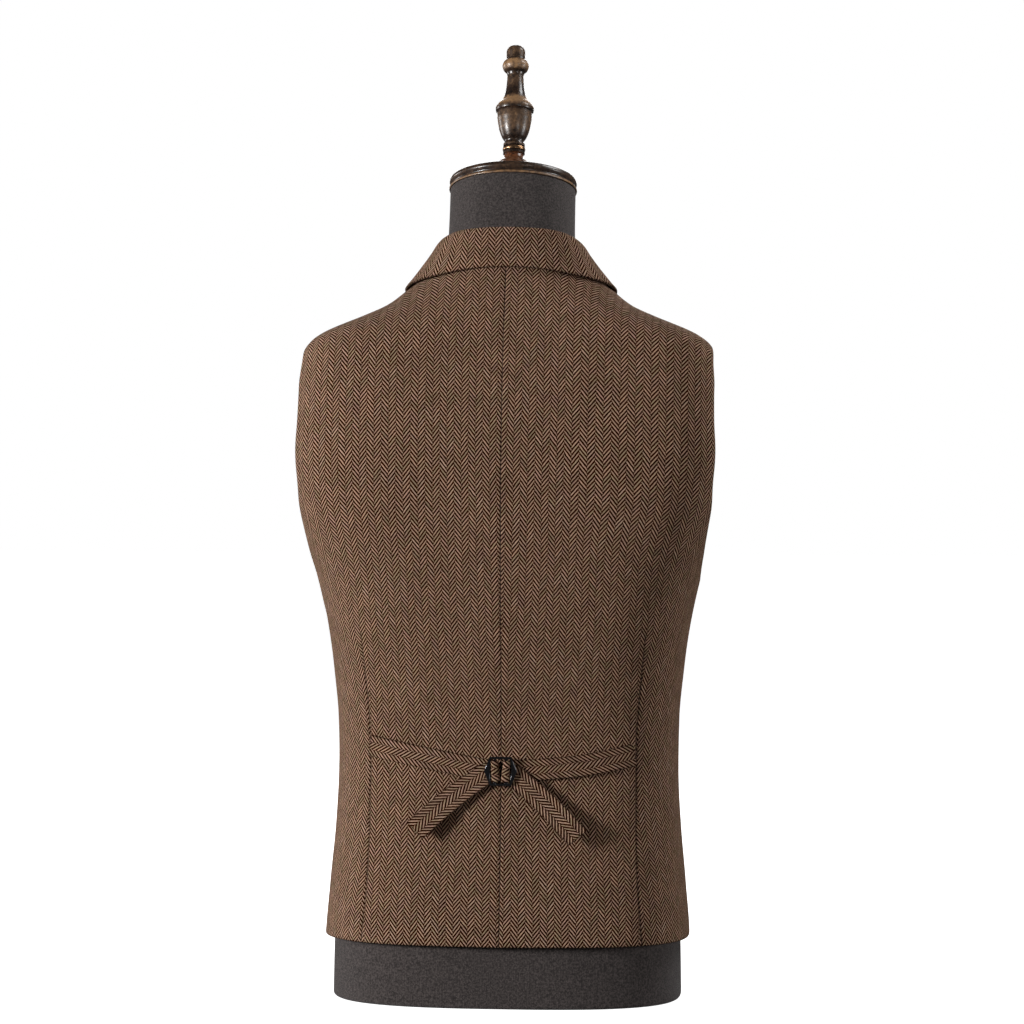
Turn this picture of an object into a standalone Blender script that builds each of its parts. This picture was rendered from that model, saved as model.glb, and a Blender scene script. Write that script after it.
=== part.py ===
"""Suit waistcoat on a limbless dress form.

Metres, +Z up. The form stands on its flat base at z = 0. The wearer faces -Y, so the back of
the waistcoat is at +Y and the wearer's left side is at +X. The tables are in millimetres.

Every panel is a stretch of one body surface, a stack of horizontal rings from the hem to the
neck. A ring is a half-width, a depth behind and a depth in front, each side a superellipse.
Angles run round a ring from 0 at the centre back, over 90 at the side, to 180 at the front.
"""

import math

import bmesh
import bpy
import numpy as np
from mathutils import Vector

COLLECTION = "suit waistcoat on a dress form"
MM = 0.001

# Cloth
CLOTH = 2.0 * MM  # wall of a panel
STRAP_CLOTH = 1.6 * MM
SEAM_GAP = 0.3 * MM

# Heights and widths of the waistcoat
HEM = 55 * MM  # at the sides and back
FRONT_POINT = 12 * MM  # lowest point of each front
ARMPIT = 372 * MM
SHOULDER_TIP = 584 * MM
NECKLINE = 649 * MM
FRONT_TOP = 644 * MM
LEVEL_ROWS = 120 * MM  # above this the front's rows are level
LAPEL_FOOT = 386 * MM
DIP_POWER = 1.25  # of the curve by which the front's hem runs down to its point
LAP_LIFT = 2.7 * MM  # of the left front over the right one
LAP_BEGINS, LAP_FULL = 52 * MM, 20 * MM  # from the centre line, where the left front rises
LAP_TOP, LAP_TOP_FULL = 440 * MM, 390 * MM  # heights between which it comes down again
DEPTH_SHIFT = 8.3 * MM  # centres the whole object on y = 0

# Dress form
FORM_INSET = 8 * MM
FORM_DROP = 4 * MM
ARM_PLATE = 172 * MM  # half-width at the flattened shoulder ends
ARM_PLATE_SOFTNESS = 4 * MM
BASE_ROUND = 3 * MM
NECK_TOP_TILT = math.radians(12)
FORM_SIDES = 36
FORM_RING_HEIGHTS = tuple(height * MM for height in (
    40, 77, 114, 152, 189, 226, 263, 300, 337, 374, 411, 449, 486, 523, 560,
    572, 580, 586, 591, 597, 604, 613, 624, 636, 646,
))

# Cap and finial
CAP_SIDES = 32
FINIAL_SIDES = 20
RING_BOTTOM, RING_TOP = 24.4 * MM, 28.1 * MM
RING_RADIUS, RING_BORE, RING_SWELL = 10.3 * MM, 9.1 * MM, 0.6 * MM

# Back strap and buckle
BUCKLE_AT = (0.0, 207.0 * MM)
BUCKLE_LIFT = 7.1 * MM  # middle of the frame above the back
BUCKLE_THICK = 1.8 * MM
BUCKLE_HALF_HEIGHT, BUCKLE_HALF_WIDTH, BUCKLE_END_HALF = 12.6 * MM, 14.4 * MM, 9.4 * MM
BUCKLE_RIM, BUCKLE_CORNER_RIM, BUCKLE_END_RIM = 2.0 * MM, 5.0 * MM, 1.2 * MM
BUCKLE_BAR = (3.9 * MM, 6.1 * MM)  # inner and outer edge of each middle bar

# Buttons
BUTTON_HEIGHTS = tuple(height * MM for height in (332, 271, 210, 149, 88))
BUTTON_SIDES = 14

# Construction
SPREAD_STEPS = 60  # along a ring when its length is measured
NORMAL_TURN, NORMAL_RISE = 0.6, 0.5 * MM  # degrees and height over which a normal is taken
SHARP_ANGLE = math.radians(50)
TURN_MERGE = 0.00005  # metres, for the points of a turned piece that lie on its axis

SECTION_COLUMNS = ("height", "half_width", "back", "front", "side", "back_power", "front_power")
SECTIONS = (
    (0, 164.0, 112.0, -116.0, -2, 2.8, 2.30),
    (55, 163.0, 112.0, -118.0, -2, 2.8, 2.30),
    (100, 159.5, 107.0, -117.0, -3, 2.8, 2.30),
    (150, 154.8, 99.5, -115.5, -4, 2.85, 2.30),
    (205, 152.2, 95.5, -115.0, -4, 2.9, 2.30),
    (250, 153.0, 98.0, -117.0, -4, 2.9, 2.30),
    (293, 156.7, 104.0, -120.5, -3, 2.9, 2.30),
    (336, 163.0, 110.5, -125.0, -2, 3.0, 2.30),
    (379, 172.8, 116.0, -128.5, 0, 3.2, 2.33),
    (401, 179.5, 118.0, -129.5, 0, 3.4, 2.35),
    (444, 191.8, 119.5, -129.0, 0, 3.7, 2.40),
    (487, 196.4, 117.5, -124.0, 1, 3.8, 2.45),
    (541, 192.4, 109.5, -109.0, 3, 3.6, 2.30),
    (565, 186.6, 103.8, -98.0, 7, 3.4, 2.20),
    (575, 183.4, 101.2, -93.0, 10, 3.3, 2.12),
    (584, 176.8, 98.4, -88.5, 12, 3.2, 2.05),
    (590, 168.5, 96.3, -85.5, 14, 3.1, 1.95),
    (595, 158.5, 94.4, -83.0, 16, 3.0, 1.88),
    (600, 146.4, 92.4, -80.5, 17, 2.9, 1.82),
    (606, 131.5, 89.8, -77.5, 18, 2.75, 1.78),
    (617, 108.2, 84.6, -72.0, 18, 2.5, 1.75),
    (627, 95.4, 79.8, -67.0, 16, 2.3, 1.78),
    (638, 82.2, 74.6, -61.5, 12, 2.15, 1.84),
    (648, 71.6, 70.0, -57.0, 8, 2.05, 1.92),
    (660, 64.5, 64.5, -53.0, 5, 2.00, 2.00),
)

ARMHOLE_COLUMNS = ("height", "back", "front")
ARMHOLE = (
    (372, 0, 0),
    (376, 19, -20),
    (386, 38, -37),
    (401, 54, -50),
    (430, 70, -63),
    (465, 78, -68),
    (500, 76, -65),
    (535, 66, -55),
    (560, 50, -41),
    (575, 30, -22),
    (584, 0, 0),
)

# Line of the left back dart, carried on up to the neckline, where the cloth is whole
DART_COLUMNS = ("height", "x")
DART_LINE = (
    (55, 123),
    (130, 117.5),
    (225, 117),
    (320, 124),
    (400, 130),
    (500, 128),
    (560, 122),
    (584, 115),
    (606, 88),
    (627, 63),
    (649, 47),
)
DART_TOP = 325 * MM
DART_FADE = 30 * MM  # over which the dart's fold dies out below its top
DART_DEPTH = 0.8 * MM
DART_HALF = 2.6 * MM  # half the width of the fold

# Inner edge of the left front: the cutaway, the straight edge and the V of the neck
FRONT_EDGE_COLUMNS = ("height", "x")
FRONT_EDGE = (
    (12, 34),
    (30, 21),
    (50, 6),
    (70, -7),
    (86, -13),
    (100, -14),
    (340, -14),
    (350, -10.5),
    (367, 0.5),
    (386, 7.5),
    (420, 17),
    (480, 33),
    (540, 47.5),
    (590, 58.5),
    (620, 63.5),
    (644, 66),
)

# Outer edge of the lapel, with share 0 at its foot and 1 at its tip
LAPEL_COLUMNS = ("share", "x", "height")
LAPEL_EDGE = (
    (0.0, 15, 391),
    (0.2, 34, 418),
    (0.4, 57, 451),
    (0.6, 80, 488),
    (0.8, 100, 524),
    (1.0, 117, 556),
)
GORGE_HEIGHT = 598 * MM  # where the gorge seam meets the roll line
GORGE_CLEARANCE = 0.5 * MM

# Middle of the lapel's cloth at its roll: distance from the roll line, height above the front
LAPEL_ROLL = ((-1.7, -0.9), (-2.2, 1.0), (-1.2, 2.7), (1.5, 3.6))
LAPEL_FLAT_LIFT = (3.7 * MM, 2.0 * MM)  # next to the roll and at the outer edge
LAPEL_FLAT_COLUMNS, LAPEL_ROWS = 5, 12

# Half of the collar. A station has a place on the neck seam, the fold above it and the leaf's
# edge on the body. The first stations are the seam's angle on the neckline, the fold's x, y and
# height, and the leaf edge's angle and height on the body
COLLAR_BACK = (
    (0, 0.0, 65.0, 682.0, 0, 645.8),
    (15, 17.9, 63.0, 681.7, 14.3, 645.2),
    (30, 34.0, 57.0, 680.9, 28.6, 643.0),
    (45, 47.0, 46.5, 679.0, 43.8, 639.4),
    (60, 56.6, 31.0, 675.6, 61, 635.5),
    (75, 61.3, 13.0, 671.0, 80, 631.8),
    (90, 62.4, -6.0, 665.5, 96, 628.0),
)
# The next stations begin with the seam's height on the V of the neck, and go on in the same way
COLLAR_FRONT = (
    (644, 63.4, -28.0, 655.0, 110.5, 622.8),
    (634, 63.6, -44.5, 641.5, 120.5, 615.5),
    (620, 62.6, -59.5, 625.5, 128.5, 608.2),
    (608, 61.2, -70.5, 611.5, 133.5, 602.8),
)
COLLAR_EDGE_LIFT = 2.8 * MM
COLLAR_RAISE = 1.2 * MM  # of the stand's lower edge over the neckline
NOTCH_CORNER = (88 * MM, 578.6 * MM)
NOTCH_TIP = (106 * MM, 600 * MM)
NOTCH_LIFT = 3.2 * MM
GORGE_LINE = ((9, 3.8), (21, 3.6))  # carries LAPEL_ROLL on along the gorge, for the collar
NOTCH_SHARES = (0.0, 0.5, 1.0)  # of the way from the notch's corner to its tip
COLLAR_FOLD_HALF = 2.0 * MM  # half the gap between stand and leaf at the fold
COLLAR_FOLD_DEPTH = 3.5 * MM
COLLAR_LEAF_SHARES = (0.25, 0.5, 0.75, 1.0)
COLLAR_SUBDIVISION = 2

# Neck of the form above the shoulders: height, centre's depth, half-width, half-depth and tilt
# in degrees
NECK = (
    (660, 3.5, 58.4, 56.0, 1.5),
    (675, 0.0, 57.1, 57.0, 4.0),
    (690, -4.5, 56.7, 57.3, 7.0),
    (706, -9.5, 56.6, 57.3, 9.5),
    (721.5, -14.5, 56.6, 57.0, 12.0),
)

# Turned profiles: radius and height, from the top of the axis down the outside
CAP_PROFILE = (
    (0, 13.4), (20, 13.2), (46, 12.6), (54, 11.6), (57.0, 9.6), (57.6, 7.4), (56.6, 5.2),
    (55.8, 3.6), (57.2, 2.4), (57.9, 1.2), (57.4, 0.0), (0, 0.0),
)
FINIAL_PROFILE = (
    (0, 125.0), (5.6, 124.4), (7.6, 122.4), (8.6, 119.5), (8.5, 112.3), (10.8, 109.8),
    (12.1, 105.8), (10.8, 101.8), (8.2, 98.9), (7.5, 96.2), (7.8, 89.2), (8.4, 83.7),
    (9.4, 78.7), (11.8, 73.0), (15.9, 68.4), (17.5, 65.0), (17.1, 62.4), (15.8, 61.4),
    (15.8, 56.7), (15.2, 52.2), (13.9, 45.2), (11.2, 37.8), (8.7, 33.0), (9.9, 30.8),
    (9.9, 28.7), (8.7, 28.4), (8.7, 24.0), (9.9, 23.8), (9.9, 21.8), (8.6, 21.0),
    (9.6, 17.8), (13.6, 14.2), (18.4, 8.0), (21.6, 3.0), (21.8, 0.0), (0, 0.0),
)
BUTTON_PROFILE = (
    (0, 1.7), (4.9, 1.8), (5.8, 2.9), (6.9, 3.0), (7.5, 2.1), (7.3, 0.7), (5.6, 0.0), (0, 0.0),
)

# Centre line of each back strap from the dart to the buckle, and of its free end, with the
# height of the middle of the cloth above the back
STRAP_COLUMNS = ("x", "height", "lift", "width")
STRAP_LEFT = (
    (116.3, 226.9, 1.6, 18.5),
    (95, 222.7, 1.9, 19),
    (72, 218.4, 2.2, 19),
    (48, 213.9, 2.4, 19),
    (30, 210.5, 2.4, 19),
    (20, 208.7, 2.4, 19),
    (13, 207.7, 2.4, 19.4),
)
STRAP_RIGHT = (
    (-114.8, 220.6, 1.6, 20),
    (-94, 216.2, 1.9, 19.5),
    (-72, 212.2, 2.2, 19),
    (-48, 209.6, 2.4, 19),
    (-30, 208.2, 2.4, 19),
    (-20, 207.5, 2.4, 19),
    (-13, 207.2, 2.4, 19.4),
)
STRAP_WRAP = (  # up past the middle bar and outwards over it, at both sides alike
    (5.0, 207.0, 2.4, 16.5),
    (2.7, 207.0, 2.9, 16.0),
    (2.0, 207.0, 5.0, 16.5),
    (2.1, 207.0, 7.2, 18.0),
    (2.9, 207.0, 8.8, 19.4),
    (5.0, 207.0, 9.4, 19.4),
    (6.6, 207.0, 8.8, 19.4),
    (7.2, 207.0, 6.9, 18.0),
    (7.3, 207.0, 5.95, 16.6),
)
TAIL_LEFT = (
    (8, 206.4, 4.6, 18.5),
    (12.5, 204.6, 4.6, 19),
    (20, 199.2, 4.6, 19),
    (32, 190.6, 4.6, 19.5),
    (46, 179.3, 6.0, 20),
    (60, 166.0, 9.2, 20),
    (72.5, 153.8, 11.0, 20),
)
TAIL_RIGHT = (
    (-8, 205.6, 4.6, 18.5),
    (-12, 203.0, 4.6, 19),
    (-19, 196.7, 4.6, 19),
    (-31, 186.2, 4.6, 19.5),
    (-43.5, 174.0, 6.0, 20),
    (-55, 161.5, 9.2, 20),
    (-66, 148.8, 11.0, 20),
)
STRAP_ROWS, TAIL_ROWS = 12, 10

BACK_COLUMNS = (7, 4)  # from the centre back to the dart and from there to the side
FRONT_COLUMNS = 11
BODY_ROWS = 15  # of a panel, from hem to armpit
ARMHOLE_ROWS = tuple(
    height * MM for height in (376, 385, 398, 416, 440, 466, 492, 518, 541, 560, 573, 581)
)
SHOULDER_ROWS = tuple(height * MM for height in (584, 588, 593, 599, 606, 614, 623, 633))

MATERIALS = {  # colour, roughness, metallic
    "tweed": ((0.106, 0.061, 0.037), 0.92, 0.0),
    "jersey": ((0.055, 0.050, 0.050), 0.95, 0.0),
    "dark wood": ((0.045, 0.022, 0.012), 0.32, 0.0),
    "antique brass": ((0.45, 0.28, 0.13), 0.35, 1.0),
    "black metal": ((0.02, 0.02, 0.022), 0.28, 1.0),
    "horn": ((0.05, 0.028, 0.018), 0.35, 0.0),
}


def columns(names, rows, lengths):
    """A table as one array for each named column, the named lengths turned into metres."""
    values = np.array(rows, float).T
    return {
        name: column * MM if name in lengths else column for name, column in zip(names, values)
    }


def through(keys, values, at):
    """Smooth curve through the values that never overshoots them, as PCHIP does."""
    steps = np.diff(keys)
    rises = np.diff(values) / steps
    slopes = np.empty(len(keys))
    slopes[0], slopes[-1] = rises[0], rises[-1]
    before, after = rises[:-1], rises[1:]
    same_way = before * after > 0
    near, far = 2 * steps[1:] + steps[:-1], steps[1:] + 2 * steps[:-1]
    safe_before, safe_after = np.where(same_way, before, 1.0), np.where(same_way, after, 1.0)
    mean = (near + far) / (near / safe_before + far / safe_after)
    slopes[1:-1] = np.where(same_way, mean, 0.0)
    at = np.clip(at, keys[0], keys[-1])
    i = np.clip(np.searchsorted(keys, at) - 1, 0, len(steps) - 1)
    t = (at - keys[i]) / steps[i]
    flat = t * t * (3 - 2 * t)
    return (
        values[i] * (1 - flat)
        + values[i + 1] * flat
        + steps[i] * (slopes[i] * t * (1 - t) ** 2 - slopes[i + 1] * t * t * (1 - t))
    )


BODY = columns(SECTION_COLUMNS, SECTIONS, ("height", "half_width", "back", "front", "side"))
ARMHOLE_CURVE = columns(ARMHOLE_COLUMNS, ARMHOLE, ARMHOLE_COLUMNS)
EDGE_CURVE = columns(FRONT_EDGE_COLUMNS, FRONT_EDGE, FRONT_EDGE_COLUMNS)
DART_CURVE = columns(DART_COLUMNS, DART_LINE, DART_COLUMNS)


def section(height, inset=0.0):
    """The body's ring at a height: half-width, back, front, side and the three powers."""
    values = [through(BODY["height"], BODY[name], height) for name in SECTION_COLUMNS[1:]]
    half_width, back, front, side, *powers = values
    shift = DEPTH_SHIFT
    return half_width - inset, back - inset + shift, front + inset + shift, side + shift, *powers


def ring_point(height, angle, inset=0.0):
    """Points of the body surface at heights and angles in degrees, which may be arrays."""
    half_width, back, front, side, back_power, front_power = section(height, inset)
    turn = np.radians(angle)
    across, along = np.sin(turn), np.cos(turn)
    power = np.where(along > 0, back_power, front_power)
    reach = (np.abs(across) ** power + np.abs(along) ** power) ** (-1 / power)
    x = half_width * across * reach
    y = side + np.where(along > 0, back - side, side - front) * along * reach
    return np.stack(np.broadcast_arrays(x, y, height), -1)


def outward(height, angle):
    """Unit normals of the body surface."""
    round_ring = ring_point(height, angle + NORMAL_TURN) - ring_point(height, angle - NORMAL_TURN)
    up = ring_point(height + NORMAL_RISE, angle) - ring_point(height - NORMAL_RISE, angle)
    normal = np.cross(up, round_ring)
    return normal / np.linalg.norm(normal, axis=-1, keepdims=True)


def angle_at_depth(height, y):
    """The angle at which the left half of a ring passes depth y."""
    _, back, front, side, back_power, front_power = section(height)
    behind = y > side
    power = np.where(behind, back_power, front_power)
    along = np.clip((y - side) / np.where(behind, back - side, side - front), -1, 1)
    return np.degrees(np.arctan2((1 - np.abs(along) ** power) ** (1 / power), along))


def angle_at_width(height, x, at_back):
    """The angle at which a ring passes x, on its back or its front half."""
    half_width, _, _, _, back_power, front_power = section(height)
    power = back_power if at_back else front_power
    across = np.clip(x / half_width, -1, 1)
    turn = np.degrees(np.arctan2(across, (1 - np.abs(across) ** power) ** (1 / power)))
    return turn if at_back else 180 - turn


def on_body(x, height, lift, at_back):
    """A point above the back or front, given as seen from there."""
    angle = angle_at_width(height, x, at_back)
    return ring_point(height, angle) + np.asarray(lift)[..., None] * outward(height, angle)


def armhole_depth(height, side_name):
    """Depth y of a panel's outer edge: the side seam, the armhole or the shoulder seam."""
    side = section(height)[3]
    hole = through(ARMHOLE_CURVE["height"], ARMHOLE_CURVE[side_name], height)
    inside_hole = (height > ARMPIT) & (height < SHOULDER_TIP)
    gap = SEAM_GAP / 2 if side_name == "back" else -SEAM_GAP / 2
    return side + np.where(inside_hole, hole, 0.0) + gap


def spread(height, start, end, count):
    """Angles that divide a stretch of a ring into parts of equal length."""
    share = np.linspace(0, 1, SPREAD_STEPS)
    angles = start + (end - start) * share
    points = ring_point(height, angles)
    walked = np.concatenate([[0], np.cumsum(np.linalg.norm(np.diff(points, axis=0), axis=1))])
    return np.interp(np.linspace(0, walked[-1], count + 1), walked, angles)


def panel_rows(top):
    """Heights of a panel's rows at its side, from the hem up."""
    body = np.linspace(HEM, ARMPIT, BODY_ROWS + 1)
    return np.array([*body, *ARMHOLE_ROWS, *SHOULDER_ROWS, top])


def back_surface():
    """Heights, angles and sunk depths of the left back's grid, one column on its dart."""
    rows = panel_rows(NECKLINE)
    start = angle_at_width(rows, np.full_like(rows, SEAM_GAP / 2), at_back=True)
    end = angle_at_depth(rows, armhole_depth(rows, "back"))
    dart_x = through(DART_CURVE["height"], DART_CURVE["x"], rows)
    near, dart, far = (
        angle_at_width(rows, dart_x + side * DART_HALF, at_back=True) for side in (-1, 0, 1)
    )
    inside, outside = BACK_COLUMNS
    angles = np.array(
        [
            [*spread(rows[i], start[i], near[i], inside), dart[i],
             *spread(rows[i], far[i], end[i], outside)]
            for i in range(len(rows))
        ]
    )
    fade = np.clip((DART_TOP - rows) / DART_FADE, 0, 1)
    sunk = np.zeros_like(angles)
    sunk[:, inside + 1] = DART_DEPTH * fade
    return np.repeat(rows[:, None], angles.shape[1], axis=1), angles, sunk


def front_surface():
    """Heights and angles of the left front's grid, whose lower rows dip to the point."""
    rows = panel_rows(FRONT_TOP)
    share = np.linspace(0, 1, FRONT_COLUMNS + 1)
    dip = (HEM - FRONT_POINT) * np.clip((LEVEL_ROWS - rows) / (LEVEL_ROWS - HEM), 0, 1)
    heights = rows[:, None] - dip[:, None] * (1 - share[None, :]) ** DIP_POWER
    inner = through(EDGE_CURVE["height"], EDGE_CURVE["x"], heights[:, 0])
    start = angle_at_width(heights[:, 0], inner, at_back=False)
    end = angle_at_depth(rows, armhole_depth(rows, "front"))
    angles = [spread(*row, FRONT_COLUMNS) for row in zip(rows, start, end)]
    return heights, np.array(angles)


def eased(value, none, full):
    """Smooth share of the way from the value that counts as none to the one that is full."""
    share = np.clip((value - none) / (full - none), 0, 1)
    return share * share * (3 - 2 * share)


def lap_lift(points):
    """How far the left front stands out to pass over the right one."""
    near_edge = eased(points[..., 0], LAP_BEGINS, LAP_FULL)
    below_neck = eased(points[..., 2], LAP_TOP, LAP_TOP_FULL)
    return LAP_LIFT * near_edge * below_neck


def mirrored(points):
    return points * np.array([-1, 1, 1])


def grid_normals(grid):
    """Unit normals of a surface given as rows of points."""
    normal = np.cross(np.gradient(grid, axis=0), np.gradient(grid, axis=1))
    return normal / np.linalg.norm(normal, axis=-1, keepdims=True)


def thickened(grid, thickness):
    """Both faces of cloth whose middle is the grid."""
    half = grid_normals(grid) * thickness / 2
    return grid + half, grid - half


def material(name):
    """The named material, made once."""
    found = bpy.data.materials.get(name)
    if found:
        return found
    colour, roughness, metallic = MATERIALS[name]
    made = bpy.data.materials.new(name)
    made.use_nodes = True
    shader = made.node_tree.nodes["Principled BSDF"]
    shader.inputs["Base Color"].default_value = (*colour, 1)
    shader.inputs["Roughness"].default_value = roughness
    shader.inputs["Metallic"].default_value = metallic
    made.diffuse_color = (*colour, 1)
    return made


def add_object(name, data, material_name, parent):
    """Link an object for the data, with its material, under a parent."""
    made = bpy.data.objects.new(name, data)
    bpy.data.collections[COLLECTION].objects.link(made)
    made.parent = parent
    if not data.materials:
        data.materials.append(material(material_name))
    return made


def closed_mesh(name, vertices, faces):
    """A mesh with its faces pointing out and its gentle edges shaded smooth."""
    mesh = bpy.data.meshes.new(name)
    mesh.from_pydata([tuple(point) for point in vertices], [], faces)
    shaped = bmesh.new()
    shaped.from_mesh(mesh)
    bmesh.ops.recalc_face_normals(shaped, faces=shaped.faces)
    shaped.to_mesh(mesh)
    shaped.free()
    mesh.shade_smooth()
    mesh.set_sharp_from_angle(angle=SHARP_ANGLE)
    return mesh


def add_wall(name, outer, inner, material_name, parent):
    """Cloth between two grids of the same size, closed round its edge."""
    rows, count = outer.shape[:2]
    vertices = np.concatenate([outer.reshape(-1, 3), inner.reshape(-1, 3)])
    index = np.arange(rows * count).reshape(rows, count)
    quads = np.stack([index[:-1, :-1], index[:-1, 1:], index[1:, 1:], index[1:, :-1]], -1)
    faces = [tuple(face) for face in quads.reshape(-1, 4)]
    below = [tuple(corner + rows * count for corner in reversed(face)) for face in faces]
    border = [*index[0], *index[1:, -1], *index[-1, -2::-1], *index[-2:0:-1, 0]]
    pairs = zip(border, border[1:] + border[:1])
    rim = [(a, a + rows * count, b + rows * count, b) for a, b in pairs]
    return add_object(
        name, closed_mesh(name, vertices, faces + below + rim), material_name, parent
    )


def add_loft(name, rings, material_name, parent):
    """A solid through rings of the same number of points, with flat ends."""
    count = len(rings[0])
    vertices = np.concatenate(rings)
    faces = [tuple(range(count)), tuple(range(len(vertices) - count, len(vertices)))]
    for row in range(len(rings) - 1):
        for i in range(count):
            a, b = row * count + i, row * count + (i + 1) % count
            faces.append((a, b, b + count, a + count))
    return add_object(name, closed_mesh(name, vertices, faces), material_name, parent)


def turned_mesh(name, profile):
    """The profile of a turned piece, in metres, as edges for a Screw modifier."""
    mesh = bpy.data.meshes.new(name)
    points = [(radius * MM, 0.0, height * MM) for radius, height in profile]
    mesh.from_pydata(points, [(i, i + 1) for i in range(len(points) - 1)], [])
    return mesh


def turn(piece, sides):
    """Spin an object's profile round its own Z axis."""
    screw = piece.modifiers.new("turned", "SCREW")
    screw.steps = screw.render_steps = sides
    screw.use_merge_vertices = True
    screw.merge_threshold = TURN_MERGE
    screw.use_smooth_shade = True
    return piece


def add_root():
    """The empty that carries everything."""
    root = bpy.data.objects.new("root", None)
    bpy.data.collections[COLLECTION].objects.link(root)
    return root


def form_rings():
    """Rings of the form's body, from its base to where the neck begins."""
    angles = np.arange(FORM_SIDES) * 360 / FORM_SIDES
    base = [(0.0, BASE_ROUND), (BASE_ROUND, 0.0)]
    body = [(height, 0.0) for height in FORM_RING_HEIGHTS]
    rings = []
    for height, rounding in base + body:
        points = ring_point(height + FORM_DROP, angles, FORM_INSET + rounding)
        points[:, 2] = height
        reach = np.abs(points[:, 0])
        softness = ARM_PLATE_SOFTNESS
        limited = -softness * np.logaddexp(-reach / softness, -ARM_PLATE / softness)
        points[:, 0] = np.sign(points[:, 0]) * np.minimum(reach, np.maximum(limited, 0))
        rings.append(points)
    return rings


def neck_rings():
    """Rings of the neck, leaning forward and tilting with it."""
    turn_by = np.radians(np.arange(FORM_SIDES) * 360 / FORM_SIDES)
    rings = []
    for height, centre, half_width, half_depth, tilt in NECK:
        lean = math.radians(tilt)
        x = half_width * np.sin(turn_by)
        along = half_depth * np.cos(turn_by)
        y = centre + DEPTH_SHIFT / MM + along * math.cos(lean)
        rings.append(np.stack([x, y, height + along * math.sin(lean)], -1) * MM)
    return rings


def add_form(root):
    add_loft("form_torso", form_rings() + neck_rings(), "jersey", root)


def neck_top(root):
    """An empty on the top of the neck, tilted as the neck is."""
    height, centre = NECK[-1][:2]
    top = bpy.data.objects.new("neck_top", None)
    bpy.data.collections[COLLECTION].objects.link(top)
    top.parent = root
    top.location = (0, centre * MM + DEPTH_SHIFT, height * MM)
    top.rotation_euler = (NECK_TOP_TILT, 0, 0)
    return top


def add_cap_and_finial(top):
    cap = add_object("neck_cap", turned_mesh("neck_cap", CAP_PROFILE), "dark wood", top)
    cap.location.z = SEAM_GAP
    turn(cap, CAP_SIDES)
    cap_height = CAP_PROFILE[0][1] * MM
    finial = add_object("finial", turned_mesh("finial", FINIAL_PROFILE), "dark wood", top)
    finial.location.z = SEAM_GAP + cap_height + SEAM_GAP
    turn(finial, FINIAL_SIDES)
    middle = (RING_BOTTOM + RING_TOP) / 2
    half = (RING_TOP - RING_BOTTOM) / 2 - SEAM_GAP
    rim = RING_RADIUS - RING_SWELL
    outline = (
        (RING_BORE, middle + half), (rim, middle + half), (RING_RADIUS, middle),
        (rim, middle - half), (RING_BORE, middle - half), (RING_BORE, middle + half),
    )
    profile = [(radius / MM, height / MM) for radius, height in outline]
    ring = add_object("finial_ring", turned_mesh("finial_ring", profile), "antique brass", top)
    ring.location.z = finial.location.z
    turn(ring, FINIAL_SIDES)


def add_backs(root):
    heights, angles, sunk = back_surface()
    normal = outward(heights, angles)
    outer = ring_point(heights, angles) - sunk[..., None] * normal
    inner = outer - CLOTH * normal
    add_wall("back_left", outer, inner, "tweed", root)
    add_wall("back_right", mirrored(outer), mirrored(inner), "tweed", root)


def add_fronts(root):
    heights, angles = front_surface()
    flat = ring_point(heights, angles)
    normal = outward(heights, angles)
    lifted = flat + lap_lift(flat)[..., None] * normal
    add_wall("front_left", lifted, lifted - CLOTH * normal, "tweed", root)
    add_wall("front_right", mirrored(flat), mirrored(flat - CLOTH * normal), "tweed", root)


def lapel_grid(lap):
    """Middle of the left lapel's cloth, row by row from its foot to the gorge."""
    edge = columns(LAPEL_COLUMNS, LAPEL_EDGE, ("x", "height"))
    share = np.linspace(0, 1, LAPEL_ROWS + 1)
    roll_height = LAPEL_FOOT + (GORGE_HEIGHT - LAPEL_FOOT) * share
    roll_x = through(EDGE_CURVE["height"], EDGE_CURVE["x"], roll_height)
    edge_x = through(edge["share"], edge["x"], share)
    edge_height = through(edge["share"], edge["height"], share)
    reach = np.hypot(edge_x - roll_x, edge_height - roll_height)
    way_x, way_height = (edge_x - roll_x) / reach, (edge_height - roll_height) / reach
    near, far = LAPEL_FLAT_LIFT
    grid = []
    for i in range(len(share)):
        stations = [(distance * MM, lift * MM) for distance, lift in LAPEL_ROLL]
        start = stations[-1][0]
        for step in np.linspace(0, 1, LAPEL_FLAT_COLUMNS + 1)[1:]:
            lift = near + (far - near) * step
            stations.append((start + (reach[i] - start) * step, lift))
        distance, lift = np.array(stations).T
        x, height = roll_x[i] + way_x[i] * distance, roll_height[i] + way_height[i] * distance
        flat = on_body(x, height, np.zeros_like(x), at_back=False)
        grid.append(on_body(x, height, lift + lap * lap_lift(flat), at_back=False))
    return np.array(grid)


def add_lapels(root):
    outer, inner = thickened(lapel_grid(lap=1), CLOTH)
    add_wall("lapel_left", outer, inner, "tweed", root)
    outer, inner = thickened(mirrored(lapel_grid(lap=0)), CLOTH)
    add_wall("lapel_right", outer, inner, "tweed", root)


def collar_station(seam, fold, edge):
    """Points from the neck seam up the stand, over the fold and down the leaf."""
    away = edge - fold
    away = away / np.linalg.norm(away)
    inward = seam - fold
    inward = inward / np.linalg.norm(inward)
    apart = away - inward
    apart = apart / np.linalg.norm(apart)
    stand_top = fold + inward * COLLAR_FOLD_DEPTH - apart * COLLAR_FOLD_HALF
    leaf_top = fold + away * COLLAR_FOLD_DEPTH + apart * COLLAR_FOLD_HALF
    leaf = [leaf_top + (edge - leaf_top) * share for share in COLLAR_LEAF_SHARES]
    return [seam, (seam + stand_top) / 2, stand_top, fold, leaf_top, *leaf]


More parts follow.
